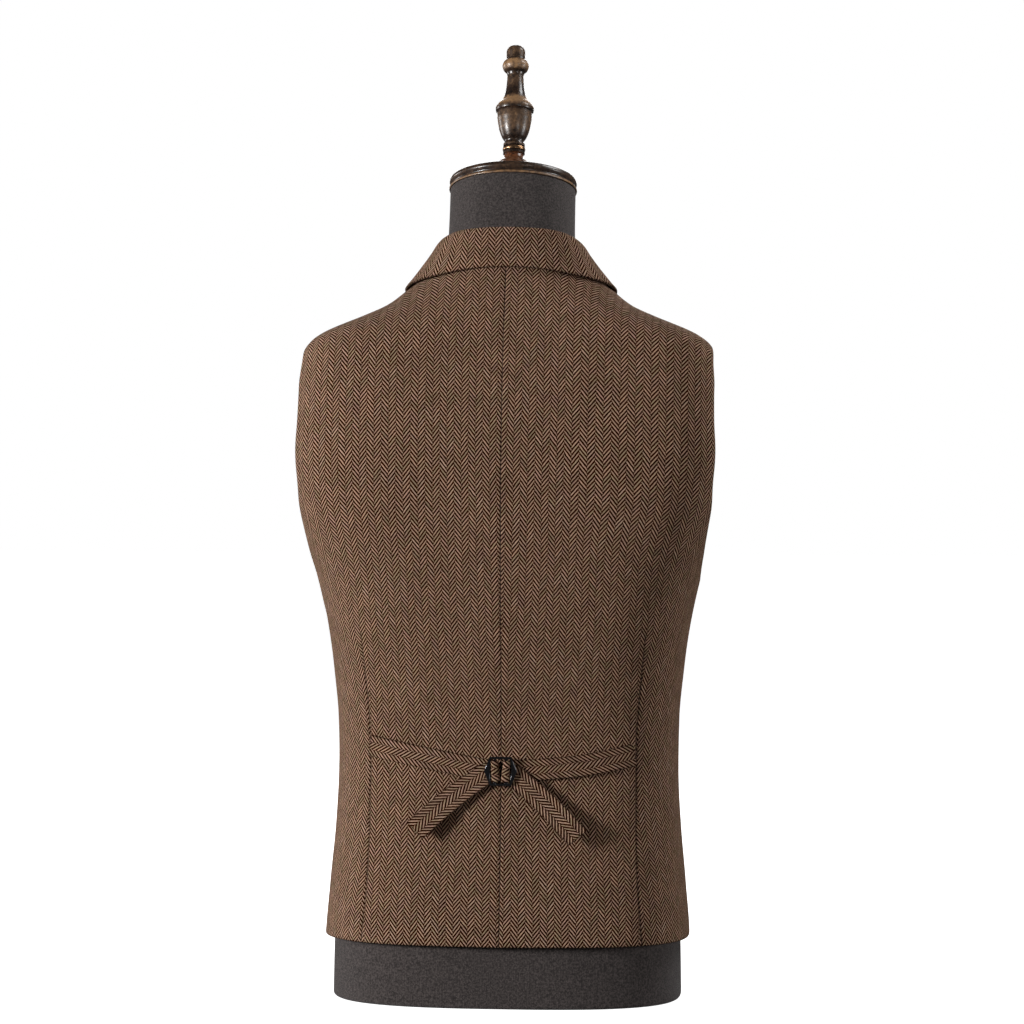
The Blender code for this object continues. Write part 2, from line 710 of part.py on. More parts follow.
def collar_stations():
    """Stations of the left half, from the centre back to just before the gorge."""
    stations = []
    for table, at_back in ((COLLAR_BACK, True), (COLLAR_FRONT, False)):
        for place, *fold, edge_angle, edge_height in table:
            if at_back:
                height, angle = np.array(NECKLINE), np.array(float(place))
                raised = np.array([0, 0, COLLAR_RAISE])
            else:
                height = np.array(place * MM)
                edge_x = through(EDGE_CURVE["height"], EDGE_CURVE["x"], height)
                angle = angle_at_width(height, edge_x - CLOTH / 2 - SEAM_GAP, at_back)
                raised = np.zeros(3)
            seam = ring_point(height, angle) - outward(height, angle) * CLOTH / 2 + raised
            edge_at = np.array(edge_height * MM), np.array(float(edge_angle))
            edge = ring_point(*edge_at) + outward(*edge_at) * COLLAR_EDGE_LIFT
            fold_point = np.array(fold) * MM + np.array([0, DEPTH_SHIFT, 0])
            stations.append(collar_station(seam, fold_point, edge))
    return stations


def gorge_station():
    """The collar's front end: along the gorge seam, then out along the notch."""
    start = np.array([through(EDGE_CURVE["height"], EDGE_CURVE["x"], GORGE_HEIGHT), GORGE_HEIGHT])
    way = np.array(NOTCH_CORNER) - start
    way = way / np.linalg.norm(way)
    up = np.array([-way[1], way[0]]) * GORGE_CLEARANCE
    along = [
        (start + way * distance * MM + up, lift * MM) for distance, lift in LAPEL_ROLL + GORGE_LINE
    ]
    corner, tip = np.array(NOTCH_CORNER), np.array(NOTCH_TIP)
    along += [(corner + (tip - corner) * share, NOTCH_LIFT) for share in NOTCH_SHARES]
    return [
        on_body(np.array(place[0]), np.array(place[1]), lift, at_back=False)
        for place, lift in along
    ]


def add_collar(root):
    half = np.array([*collar_stations(), gorge_station()])
    keys = np.arange(len(half)).astype(float)
    at = np.linspace(0, keys[-1], COLLAR_SUBDIVISION * (len(half) - 1) + 1)
    smooth = np.empty((len(at), *half.shape[1:]))
    for place in np.ndindex(*half.shape[1:]):
        smooth[(slice(None), *place)] = through(keys, half[(slice(None), *place)], at)
    grid = np.concatenate([mirrored(smooth)[:0:-1], smooth])
    outer, inner = thickened(grid, CLOTH)
    add_wall("collar", outer, inner, "tweed", root)


def ribbon(line, wrap, rows):
    """Middle of a strap that follows a line over the back, as rows of three points."""
    track = columns(STRAP_COLUMNS, [*line, *wrap], STRAP_COLUMNS)
    steps = np.hypot(np.diff(track["x"]), np.diff(track["height"]))
    walked = np.concatenate([[0], np.cumsum(steps + np.abs(np.diff(track["lift"])))])
    straight_end = len(line) - 1
    at = [*np.linspace(0, walked[straight_end], rows + 1), *walked[straight_end + 1 :]]
    x, height, lift, width = (through(walked, track[name], at) for name in STRAP_COLUMNS)
    way = np.stack([np.gradient(x), np.gradient(height)], -1)
    way = way / np.linalg.norm(way, axis=1, keepdims=True)
    side_x, side_height = -way[:, 1] * width / 2, way[:, 0] * width / 2
    lines = [
        on_body(x + side_x * edge, height + side_height * edge, lift, at_back=True)
        for edge in (-1, 0, 1)
    ]
    return np.stack(lines, axis=1)


def add_straps(root):
    pieces = (
        ("strap_left", STRAP_LEFT, STRAP_WRAP, STRAP_ROWS),
        ("strap_right", STRAP_RIGHT, [(-x, *rest) for x, *rest in STRAP_WRAP], STRAP_ROWS),
        ("strap_end_left", TAIL_LEFT, (), TAIL_ROWS),
        ("strap_end_right", TAIL_RIGHT, (), TAIL_ROWS),
    )
    for name, line, wrap, rows in pieces:
        outer, inner = thickened(ribbon(line, wrap, rows), STRAP_CLOTH)
        add_wall(name, outer, inner, "tweed", root)


def buckle_outlines():
    """The buckle's hexagon and the three windows in it, in its own plane."""
    top, wide, end = BUCKLE_HALF_HEIGHT, BUCKLE_HALF_WIDTH, BUCKLE_END_HALF
    hexagon = [(end, top), (wide, 0), (end, -top), (-end, -top), (-wide, 0), (-end, top)]
    inner_top = top - BUCKLE_RIM
    inner_wide, inner_end = wide - BUCKLE_CORNER_RIM, end - BUCKLE_END_RIM
    near, far = BUCKLE_BAR
    side = [(far, inner_top), (inner_end, inner_top), (inner_wide, 0), (inner_end, -inner_top)]
    side.append((far, -inner_top))
    middle = [(near, inner_top), (near, -inner_top), (-near, -inner_top), (-near, inner_top)]
    return [hexagon, side, [(-x, z) for x, z in side], middle]


def add_buckle(root):
    outline = bpy.data.curves.new("buckle", "CURVE")
    outline.dimensions = "2D"
    outline.fill_mode = "BOTH"
    outline.extrude = BUCKLE_THICK / 2
    for points in buckle_outlines():
        spline = outline.splines.new("POLY")
        spline.points.add(len(points) - 1)
        for point, (x, y) in zip(spline.points, points):
            point.co = (x, y, 0, 1)
        spline.use_cyclic_u = True
    buckle = add_object("buckle", outline, "black metal", root)
    x, height = BUCKLE_AT
    buckle.location = on_body(np.array(x), np.array(height), BUCKLE_LIFT, at_back=True)
    buckle.rotation_euler = (math.radians(90), 0, 0)


def add_buttons(root):
    shared = turned_mesh("button", BUTTON_PROFILE)
    for number, height in enumerate(BUTTON_HEIGHTS, 1):
        button = add_object(f"button_{number}", shared, "horn", root)
        lift = LAP_LIFT + SEAM_GAP
        button.location = on_body(np.array(0.0), np.array(height), lift, at_back=False)
        facing = Vector(outward(np.array(height), np.array(180.0)))
        button.rotation_euler = facing.to_track_quat("Z", "Y").to_euler()
        turn(button, BUTTON_SIDES)


def main():
    for old in list(bpy.data.objects):
        bpy.data.objects.remove(old)
    bpy.context.scene.collection.children.link(bpy.data.collections.new(COLLECTION))
    root = add_root()
    add_form(root)
    add_cap_and_finial(neck_top(root))
    add_backs(root)
    add_fronts(root)
    add_lapels(root)
    add_collar(root)
    add_straps(root)
    add_buckle(root)
    add_buttons(root)


main()
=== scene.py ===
"""Looks of the suit waistcoat on a dress form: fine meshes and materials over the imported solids.

Metres, +Z up. The wearer faces -Y, so the camera stands behind them, at +Y. The tables are in
millimetres and are the same as in the part's own source, so every piece lies where its solid is.
"""

import functools
import math

import bmesh
import bpy
import numpy as np
from mathutils import Matrix, Vector
from mathutils.kdtree import KDTree

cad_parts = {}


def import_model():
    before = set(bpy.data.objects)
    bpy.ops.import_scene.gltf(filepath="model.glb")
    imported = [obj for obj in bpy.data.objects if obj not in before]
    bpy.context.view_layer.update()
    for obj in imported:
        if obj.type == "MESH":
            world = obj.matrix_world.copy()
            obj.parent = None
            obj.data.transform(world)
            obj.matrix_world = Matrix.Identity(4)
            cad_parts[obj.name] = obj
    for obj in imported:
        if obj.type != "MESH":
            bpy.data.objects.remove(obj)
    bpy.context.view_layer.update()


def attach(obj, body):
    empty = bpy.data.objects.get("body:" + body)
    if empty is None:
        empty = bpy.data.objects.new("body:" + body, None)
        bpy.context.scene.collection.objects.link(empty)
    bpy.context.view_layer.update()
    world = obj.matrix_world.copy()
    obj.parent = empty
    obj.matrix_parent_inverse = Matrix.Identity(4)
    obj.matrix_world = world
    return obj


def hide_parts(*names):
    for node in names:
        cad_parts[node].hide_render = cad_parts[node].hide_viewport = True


MM = 0.001

# ---- sizes shared with the solids ----

CLOTH = 2.0 * MM
STRAP_CLOTH = 1.6 * MM
SEAM_GAP = 0.3 * MM
HEM = 55 * MM  # at the sides and back
FRONT_POINT = 12 * MM  # lowest point of each front
ARMPIT = 372 * MM
SHOULDER_TIP = 584 * MM
NECKLINE = 649 * MM
FRONT_TOP = 644 * MM
LEVEL_ROWS = 120 * MM  # above this the front's rows are level
LAPEL_FOOT = 386 * MM
DIP_POWER = 1.25  # of the curve by which the front's hem runs down to its point
LAP_LIFT = 2.7 * MM  # of the left front over the right one
LAP_BEGINS, LAP_FULL = 52 * MM, 20 * MM  # from the centre line, where the left front rises
LAP_TOP, LAP_TOP_FULL = 440 * MM, 390 * MM  # heights between which it comes down again
DEPTH_SHIFT = 8.3 * MM  # centres the whole object on y = 0

FORM_INSET = 8 * MM
FORM_DROP = 4 * MM
ARM_PLATE = 172 * MM
ARM_PLATE_SOFTNESS = 4 * MM
BASE_ROUND = 3 * MM
NECK_TOP_TILT = math.radians(12)

BUCKLE_AT = (0.0, 207.0 * MM)
BUCKLE_LIFT = 7.1 * MM  # middle of the frame above the back
BUCKLE_THICK = 1.8 * MM
BUCKLE_HALF_HEIGHT, BUCKLE_HALF_WIDTH, BUCKLE_END_HALF = 12.6 * MM, 14.4 * MM, 9.4 * MM
BUCKLE_RIM, BUCKLE_CORNER_RIM, BUCKLE_END_RIM = 2.0 * MM, 5.0 * MM, 1.2 * MM
BUCKLE_BAR = (3.9 * MM, 6.1 * MM)  # inner and outer edge of each middle bar

BUTTON_HEIGHTS = tuple(height * MM for height in (332, 271, 210, 149, 88))
RING_BOTTOM, RING_TOP = 24.4 * MM, 28.1 * MM
RING_RADIUS, RING_BORE = 10.3 * MM, 9.1 * MM

NORMAL_TURN, NORMAL_RISE = 0.6, 0.5 * MM  # degrees and height over which a normal is taken

SECTION_COLUMNS = ("height", "half_width", "back", "front", "side", "back_power", "front_power")
SECTIONS = (
    (0, 164.0, 112.0, -116.0, -2, 2.8, 2.30),
    (55, 163.0, 112.0, -118.0, -2, 2.8, 2.30),
    (100, 159.5, 107.0, -117.0, -3, 2.8, 2.30),
    (150, 154.8, 99.5, -115.5, -4, 2.85, 2.30),
    (205, 152.2, 95.5, -115.0, -4, 2.9, 2.30),
    (250, 153.0, 98.0, -117.0, -4, 2.9, 2.30),
    (293, 156.7, 104.0, -120.5, -3, 2.9, 2.30),
    (336, 163.0, 110.5, -125.0, -2, 3.0, 2.30),
    (379, 172.8, 116.0, -128.5, 0, 3.2, 2.33),
    (401, 179.5, 118.0, -129.5, 0, 3.4, 2.35),
    (444, 191.8, 119.5, -129.0, 0, 3.7, 2.40),
    (487, 196.4, 117.5, -124.0, 1, 3.8, 2.45),
    (541, 192.4, 109.5, -109.0, 3, 3.6, 2.30),
    (565, 186.6, 103.8, -98.0, 7, 3.4, 2.20),
    (575, 183.4, 101.2, -93.0, 10, 3.3, 2.12),
    (584, 176.8, 98.4, -88.5, 12, 3.2, 2.05),
    (590, 168.5, 96.3, -85.5, 14, 3.1, 1.95),
    (595, 158.5, 94.4, -83.0, 16, 3.0, 1.88),
    (600, 146.4, 92.4, -80.5, 17, 2.9, 1.82),
    (606, 131.5, 89.8, -77.5, 18, 2.75, 1.78),
    (617, 108.2, 84.6, -72.0, 18, 2.5, 1.75),
    (627, 95.4, 79.8, -67.0, 16, 2.3, 1.78),
    (638, 82.2, 74.6, -61.5, 12, 2.15, 1.84),
    (648, 71.6, 70.0, -57.0, 8, 2.05, 1.92),
    (660, 64.5, 64.5, -53.0, 5, 2.00, 2.00),
)

ARMHOLE = (  # height, and the edge's depth behind and in front of the side
    (372, 0, 0), (376, 19, -20), (386, 38, -37), (401, 54, -50), (430, 70, -63), (465, 78, -68),
    (500, 76, -65), (535, 66, -55), (560, 50, -41), (575, 30, -22), (584, 0, 0),
)

DART_LINE = (  # height and x, carried on above the dart up to the neckline
    (55, 123), (130, 117.5), (225, 117), (320, 124), (400, 130), (500, 128), (560, 122),
    (584, 115), (606, 88), (627, 63), (649, 47),
)
DART_TOP = 325 * MM
DART_FADE = 30 * MM  # over which the dart's fold dies out below its top
DART_DEPTH = 0.8 * MM

FRONT_EDGE = (  # height and x of the cutaway, the straight edge and the V of the neck
    (12, 34), (30, 21), (50, 6), (70, -7), (86, -13), (100, -14), (340, -14), (350, -10.5),
    (367, 0.5), (386, 7.5), (420, 17), (480, 33), (540, 47.5), (590, 58.5), (620, 63.5),
    (644, 66),
)

LAPEL_COLUMNS = ("share", "x", "height")
LAPEL_EDGE = (  # share 0 at its foot and 1 at its tip
    (0.0, 15, 391), (0.2, 34, 418), (0.4, 57, 451), (0.6, 80, 488), (0.8, 100, 524),
    (1.0, 117, 556),
)
GORGE_HEIGHT = 598 * MM  # where the gorge seam meets the roll line
GORGE_CLEARANCE = 0.5 * MM
# Middle of the lapel's cloth at its roll: distance from the roll line, height above the front
LAPEL_ROLL = ((-1.7, -0.9), (-2.2, 1.0), (-1.2, 2.7), (1.5, 3.6))
LAPEL_FLAT_LIFT = (3.7 * MM, 2.0 * MM)  # next to the roll and at the outer edge
LAPEL_FLAT_COLUMNS, LAPEL_ROWS = 5, 12

# Half of the collar: the seam's angle on the neckline, the fold's x, y and height, and the angle
# and height of the leaf's edge on the body
COLLAR_BACK = (
    (0, 0.0, 65.0, 682.0, 0, 645.8),
    (15, 17.9, 63.0, 681.7, 14.3, 645.2),
    (30, 34.0, 57.0, 680.9, 28.6, 643.0),
    (45, 47.0, 46.5, 679.0, 43.8, 639.4),
    (60, 56.6, 31.0, 675.6, 61, 635.5),
    (75, 61.3, 13.0, 671.0, 80, 631.8),
    (90, 62.4, -6.0, 665.5, 96, 628.0),
)
COLLAR_FRONT = (  # the seam's height on the V of the neck, and the same again
    (644, 63.4, -28.0, 655.0, 110.5, 622.8),
    (634, 63.6, -44.5, 641.5, 120.5, 615.5),
    (620, 62.6, -59.5, 625.5, 128.5, 608.2),
    (608, 61.2, -70.5, 611.5, 133.5, 602.8),
)
COLLAR_EDGE_LIFT = 2.8 * MM
COLLAR_RAISE = 1.2 * MM  # of the stand's lower edge over the neckline
NOTCH_CORNER = (88 * MM, 578.6 * MM)
NOTCH_TIP = (106 * MM, 600 * MM)
NOTCH_LIFT = 3.2 * MM
GORGE_LINE = ((9, 3.8), (21, 3.6))  # carries LAPEL_ROLL on along the gorge, for the collar
NOTCH_SHARES = (0.0, 0.5, 1.0)  # of the way from the notch's corner to its tip
COLLAR_FOLD_HALF = 2.0 * MM  # half the gap between stand and leaf at the fold
COLLAR_FOLD_DEPTH = 3.5 * MM
COLLAR_LEAF_SHARES = (0.25, 0.5, 0.75, 1.0)

NECK = (  # height, centre's depth, half-width, half-depth and tilt in degrees
    (660, 3.5, 58.4, 56.0, 1.5),
    (675, 0.0, 57.1, 57.0, 4.0),
    (690, -4.5, 56.7, 57.3, 7.0),
    (706, -9.5, 56.6, 57.3, 9.5),
    (721.5, -14.5, 56.6, 57.0, 12.0),
)

# Centre line of each back strap from the dart to the buckle, of its way round the buckle's middle
# bar, and of its free end, with the lift of the middle of the cloth above the back
STRAP_COLUMNS = ("x", "height", "lift", "width")
STRAP_LEFT = (
    (116.3, 226.9, 1.6, 18.5), (95, 222.7, 1.9, 19), (72, 218.4, 2.2, 19), (48, 213.9, 2.4, 19),
    (30, 210.5, 2.4, 19), (20, 208.7, 2.4, 19), (13, 207.7, 2.4, 19.4),
)
STRAP_RIGHT = (
    (-114.8, 220.6, 1.6, 20), (-94, 216.2, 1.9, 19.5), (-72, 212.2, 2.2, 19),
    (-48, 209.6, 2.4, 19), (-30, 208.2, 2.4, 19), (-20, 207.5, 2.4, 19),
    (-13, 207.2, 2.4, 19.4),
)
STRAP_WRAP = (
    (5.0, 207.0, 2.4, 16.5), (2.7, 207.0, 2.9, 16.0), (2.0, 207.0, 5.0, 16.5),
    (2.1, 207.0, 7.2, 18.0), (2.9, 207.0, 8.8, 19.4), (5.0, 207.0, 9.4, 19.4),
    (6.6, 207.0, 8.8, 19.4), (7.2, 207.0, 6.9, 18.0), (7.3, 207.0, 5.95, 16.6),
)
TAIL_LEFT = (
    (8, 206.4, 4.6, 18.5), (12.5, 204.6, 4.6, 19), (20, 199.2, 4.6, 19), (32, 190.6, 4.6, 19.5),
    (46, 179.3, 6.0, 20), (60, 166.0, 9.2, 20), (72.5, 153.8, 11.0, 20),
)
TAIL_RIGHT = (
    (-8, 205.6, 4.6, 18.5), (-12, 203.0, 4.6, 19), (-19, 196.7, 4.6, 19),
    (-31, 186.2, 4.6, 19.5), (-43.5, 174.0, 6.0, 20), (-55, 161.5, 9.2, 20),
    (-66, 148.8, 11.0, 20),
)

# Turned profiles: radius and height, from the top of the axis down the outside
CAP_PROFILE = (
    (0, 13.4), (20, 13.2), (46, 12.6), (54, 11.6), (57.0, 9.6), (57.6, 7.4), (56.6, 5.2),
    (55.8, 3.6), (57.2, 2.4), (57.9, 1.2), (57.4, 0.0), (0, 0.0),
)
FINIAL_PROFILE = (
    (0, 125.0), (5.6, 124.4), (7.6, 122.4), (8.6, 119.5), (8.5, 112.3), (10.8, 109.8),
    (12.1, 105.8), (10.8, 101.8), (8.2, 98.9), (7.5, 96.2), (7.8, 89.2), (8.4, 83.7),
    (9.4, 78.7), (11.8, 73.0), (15.9, 68.4), (17.5, 65.0), (17.1, 62.4), (15.8, 61.4),
    (15.8, 56.7), (15.2, 52.2), (13.9, 45.2), (11.2, 37.8), (8.7, 33.0), (9.9, 30.8),
    (9.9, 28.7), (8.7, 28.4), (8.7, 24.0), (9.9, 23.8), (9.9, 21.8), (8.6, 21.0),
    (9.6, 17.8), (13.6, 14.2), (18.4, 8.0), (21.6, 3.0), (21.8, 0.0), (0, 0.0),
)
# Height on the profile, how far it is tan gold (scuffed varnish, and painted highlights on the
# finial), and how far its stain is red
CAP_WEAR = (
    (0, 0.2, 0), (0.7, 0.65, 0), (1.8, 0.6, 0), (2.8, 0.1, 0), (4.5, 0, 0), (6.5, 0.18, 0),
    (13.4, 0.05, 0),
)
# On the finial the tan gold is partly scuffed varnish and partly painted highlight: on the ball,
# the flare's rim, the cup and the ring above the brass
FINIAL_GOLD_AND_HIGHLIGHT = (
    (0, 0.1, 1), (14, 0.2, 1), (20, 0.1, 1), (22, 0, 0), (28.5, 0, 0), (30, 0.3, 0), (31.5, 0.1, 0),
    (35, 0, 0), (39, 0.15, 0), (46, 0.35, 0), (56, 0.35, 0), (60, 0.25, 0), (62, 0, 0),
    (64, 0.2, 0), (66, 0.5, 0), (69, 0.85, 0), (73, 0.9, 0), (75.5, 0.3, 0), (78, 0, 0),
    (84, 0.05, 0), (90, 0.3, 0), (97, 0.2, 0), (100, 0, 0), (103, 0.65, 0), (107, 0.8, 0),
    (110.5, 0.6, 0), (112, 0.1, 0), (116, 0.3, 0), (125, 0.3, 0),
)
BUTTON_PROFILE = (
    (0, 1.7), (4.9, 1.8), (5.8, 2.9), (6.9, 3.0), (7.5, 2.1), (7.3, 0.7), (5.6, 0.0), (0, 0.0),
)

# ---- sizes of the finer detail ----

# Cloth edges and seams
EDGE_ROUND = 0.95 * MM  # radius of a turned edge
EDGE_LEFT = 0.30  # share of the thickness that is left at the very edge
EDGE_SWELL = 0.18  # how much thicker the turned edge is than the cloth behind it
EDGE_SWELL_AT, EDGE_SWELL_WIDTH = 2.6 * MM, 2.2 * MM
# Painted shade along the cloth's turned edges, seams and dart: how far it reaches, what is left of
# the colour there, and how much narrower it is at a seam
EDGE_SHADE, EDGE_DARK = 0.9 * MM, 0.4  # how far an edge is darkened, and what is left of it
SEAM_SHADE = 3.0  # how many times narrower a seam's dark line is
SEAM_SINK, SEAM_SINK_WIDTH = 0.28 * MM, 1.6 * MM
DART_FOLD = 1.1 * MM  # half-width of the dart's groove

# Mesh steps
BORDER_STEPS = tuple(step * MM for step in (0.0, 0.18, 0.45, 0.9, 1.6, 2.8))
BORDER_CLEAR = BORDER_STEPS[-1] * 1.4  # even steps keep this far from a border
DART_STEPS = tuple(step * MM for step in (0.0, 0.4, 0.9, 1.5, 2.4))
ROW_STEPS = (  # height from which a step between rows holds, up to the next height
    (58.2, 3.8), (366, 1.2), (371, 0.35), (374, 0.8), (380, 1.6), (392, 3.8), (556, 2.2),
    (579, 0.9), (604, 1.5),
)
BACK_COLUMNS = (34, 18)  # from the centre back to the dart and from there to the side
FRONT_COLUMNS = 48
SPLAY, SPLAY_REACH = 0.13, (9 * MM, 3.5 * MM)  # lean of the straps' folds, and where it ends
LAPEL_STEP, COLLAR_STEP, STRAP_STEP = 3.2 * MM, 3.0 * MM, 2.0 * MM
FOLD_STEP, STRAP_ACROSS_STEP, WRAP_STEP = 1.1 * MM, 1.3 * MM, 0.45 * MM
ARC_SAMPLES = 96
FORM_SIDES, CAP_SIDES, FINIAL_SIDES, BUTTON_SIDES = 120, 96, 72, 48
RING_SECTION, THREAD_SIDES, HOLE_SIDES = 14, 6, 16
# Heights from which a step between the form's rings holds, and the last ring's height
FORM_STEPS = ((3.2, 9), (560, 4), (580, 2), (606, 4), (646, 4))
BASE_STEPS, NECK_RINGS = 6, 20
PROFILE_STEP = 0.5 * MM
SHARP_ANGLE = math.radians(40)
WELD = 0.001 * MM  # points this close are one
HAIR = 0.001 * MM  # a length that counts as none

# Flat pattern
PATTERN_MAP = "cloth"
CHEST_LINE = 540 * MM
GRAIN_STEP, GRAIN_REACH, GRAIN_ROWS, RIDGE_SAMPLES = 5 * MM, 330 * MM, 80, 4000
FORM_GIRTH = 0.88
DART_INTAKE = ((55, 5), (130, 12), (205, 18), (260, 12), (325, 0))  # height, width taken in
CENTRE_INTAKE = (  # height, cloth taken in on each side of the centre back seam
    (88, 7.9), (123, 8.2), (235, 7.3), (270, 5.8), (304, 4.6), (339, 3.0), (400, 1.4),
    (477, 0.4), (540, 0),
)
COLUMN_WIDTHS = (  # height, width of a weave column where steam has shrunk or stretched it
    (88, 6.3), (123, 6.2), (235, 6.08), (270, 6.06), (339, 6.1), (480, 6.2), (540, 6.2),
)
SIDE_STRETCH = {"back_left": 0.04, "back_right": 0.09}  # widening of the columns near the armholes
SIDE_STRETCH_FROM, SIDE_STRETCH_HEIGHTS = 60 * MM, (380 * MM, 450 * MM)
LONG_STRETCH, LONG_STRETCH_FROM = 0.03, 370 * MM  # lengthening of the picks above the waist
PATTERN_STARTS = {  # where each piece was cut in the weave, across and along
    "back_left": (-4.2, 0.0), "back_right": (5.2, 1.3), "front_left": (4.0, 1.0),
    "front_right": (1.0, 3.0), "lapel_left": (3.0, 2.0), "lapel_right": (1.5, 0.5),
    "collar": (3.1, 0.0), "strap_left": (3.1, 0.0), "strap_right": (3.1, 1.4),
    "strap_end_left": (3.1, 2.2), "strap_end_right": (3.1, 0.8),
}

# Herringbone in millimetres: a column, its warps, a pick, the picks of a repeat and the shift
WEAVE_COLUMN, WEAVE_WARPS = 6.3, 8
WEAVE_PICK, WEAVE_REPEAT, WEAVE_STAGGER = 0.99, 4, 2
WEAVE_SHADE = (-0.4, 0.3)  # across a stroke from -1 to 1, where the dark yarn turns brown
WEAVE_CHANGE = (0.0, 0.7)  # and where that turns into the light yarn
WEAVE_TAPER, WEAVE_STEPS = 0.5, 0.3  # narrowing of a stroke at its ends, share of single yarns
WEAVE_SWAYS = ((0.9, 55.0), (1.6, 48.0), (0.45, 2.6))  # across, along, by yarn: reach and size
TWEED_RELIEF, TWEED_FUZZ, TWEED_FLOATS = 0.42 * MM, 0.8, 0.5  # depth, shares of fluff and strokes
TWEED_FIBRE, TWEED_STROKE = (0.5, 1.5), (0.85, 1.15)  # brightness of fibres and of strokes

# Knit of the form's cover in millimetres
KNIT_WALE, KNIT_COURSE, KNIT_RELIEF = 1.7, 1.3, 0.25 * MM

# Sewing
THREAD, SEAM_THREAD = 0.22 * MM, 0.14 * MM
THREAD_SHAPE = ((0.0, 0.45), (0.15, 0.9), (0.5, 1.0), (0.85, 0.9), (1.0, 0.45))
THREAD_TOP = 1.75 * MM
STITCH_PITCH, STITCH_LENGTH = 3.2 * MM, 2.0 * MM
STITCHES_FROM, SEAM_STITCH_TOP, DART_STITCH_DEPTH = 2 * MM, 612 * MM, 0.8
HOLE_AT, HOLE_RADIUS, BUTTON_DEEP = 1.25 * MM, 0.75 * MM, 4 * MM
BUTTONHOLE, BUTTONHOLE_STEP = (-3 * MM, 14 * MM), 0.55 * MM
BUTTONHOLE_SLIT, BUTTONHOLE_NEAR, BUTTONHOLE_HALF = 0.25 * MM, 0.3 * MM, 1.3 * MM
BUTTONHOLE_TURNS = (-75, -50, -25, 0, 25, 50, 75)  # directions of the stitches round each end

BUCKLE_EDGE, BUCKLE_EDGE_STEPS = 0.7 * MM, 4  # radius of the frame's rounded rims

# Colours as display values from 0 to 255
TWEED_TAN, TWEED_OLIVE, TWEED_PINK = (190, 156, 132), (172, 150, 122), (186, 150, 132)
TWEED_PALE, TWEED_MID, TWEED_FLUFF = (196, 166, 144), (108, 70, 43), (220, 190, 170)
TWEED_BROWN, TWEED_BLACK, TWEED_RUST = (48, 14, 1), (34, 10, 2), (76, 32, 8)
JERSEY_DARK, JERSEY_LIGHT = (52, 47, 46), (92, 84, 82)
WOOD_DARK, WOOD_BROWN, WOOD_RED = (26, 18, 14), (52, 36, 27), (126, 70, 37)
WOOD_TAN, WOOD_GOLD = (100, 76, 56), (164, 126, 88)
BRASS, BRASS_TARNISH = (190, 150, 112), (96, 70, 48)
PLATING, PLATING_WORN = (88, 88, 92), (112, 110, 110)
HORN_DARK, HORN_LIGHT = (52, 34, 24), (104, 74, 50)
THREAD_DARK, THREAD_LIGHT = (70, 34, 18), (128, 92, 66)

# Soft unevenness of the cloth: height of each wave, its direction and length, and its start
WAVES = (
    (0.20, (21.0, 5.0, 34.0), 0.7),
    (0.16, (-38.0, 12.0, 22.0), 2.1),
    (0.14, (55.0, -9.0, -29.0), 4.0),
    (0.10, (12.0, 31.0, 83.0), 1.2),
    (0.08, (-83.0, 20.0, 47.0), 5.1),
)
WAVES_END, WAVES_FULL = 590 * MM, 540 * MM

# The back's panels meet in a low ridge along the centre seam
RIDGE_RISE, RIDGE_REACH = 1.8 * MM, 60 * MM

# Creases as soft ridges, or troughs where the height is negative: from one place to another as
# x and height, then half-width and height. Each is on the back, or on the front
BACK_CREASES = (
    (112, 236, 60, 252, 7, 0.5), (108, 205, 52, 190, 8, -0.5),
    (-110, 232, -66, 250, 7, 0.5), (-106, 196, -50, 178, 9, -0.5),
    (30, 232, 14, 300, 9, 0.35), (-26, 236, -16, 320, 8, -0.35),
    (140, 300, 168, 352, 8, -0.5), (-138, 306, -170, 356, 8, -0.5),
    (150, 396, 128, 470, 11, 0.45), (-152, 400, -124, 480, 10, 0.45),
    (95, 90, 130, 150, 9, 0.4), (-88, 84, -128, 140, 10, -0.4),
)
FRONT_CREASES = (
    (6, 210, 80, 240, 8, 0.6), (6, 271, 96, 318, 9, -0.6), (4, 149, 70, 132, 8, 0.5),
    (-6, 206, -76, 236, 8, 0.6), (-8, 268, -92, 312, 9, -0.6), (-6, 152, -66, 130, 8, 0.5),
    (130, 352, 160, 390, 9, 0.6), (-128, 350, -160, 392, 9, 0.6),
    (120, 420, 100, 500, 10, -0.5), (-118, 424, -98, 506, 10, -0.5),
)
CREASE_END = 0.25  # share of a crease over which it dies out at each end

# ---- camera and light ----

CAMERA_TARGET = Vector((0.0, DEPTH_SHIFT, 0.432))
CAMERA_DISTANCE = 2.85
CAMERA_AZIMUTH = math.radians(184)  # of the way it looks
CAMERA_SLIDE = 0.0015  # of its aim to the wearer's right
CAMERA_ROLL = math.radians(0.3)
CAMERA_LENS, SENSOR = 111.3, 36.0
FLOOR_REACH, FLOOR_DROP, FLOOR_GLOW = 30.0, 0.05 * MM, 0.95
FLOOR_CLOUD = 900.0  # millimetres, size of its faint unevenness
FLOOR_GREYS = ((241, 241, 241), (246, 246, 246))
WORLD_LIGHT = 0.07  # strength on the object, where the camera sees 1
LIGHTS = (  # name, azimuth, elevation, distance, width and height, power
    ("key", 33, 5, 2.8, (0.6, 0.6), 76),
    ("left", -25, 5, 2.8, (0.6, 0.8), 13),
    ("fill", 120, 6, 2.8, (0.6, 0.6), 6),
    ("right", 172, 2, 2.8, (0.6, 0.8), 21),
    ("top", 188, 52, 1.2, (0.4, 0.4), 4.5),
    ("front", 272, 25, 3.0, (1.6, 1.6), 40),
)

# Halves of the garment: name, what turns the left half's points into this one's, and side
LEFT_AND_RIGHT = (("left", np.array, 1), ("right", lambda points: points * (-1, 1, 1), -1))


def srgb(red, green, blue):
    """A colour given as display values from 0 to 255, as Blender's linear values."""
    shares = [value / 255 for value in (red, green, blue)]
    return tuple(s / 12.92 if s <= 0.04045 else ((s + 0.055) / 1.055) ** 2.4 for s in shares)


# ---- the body surface ----


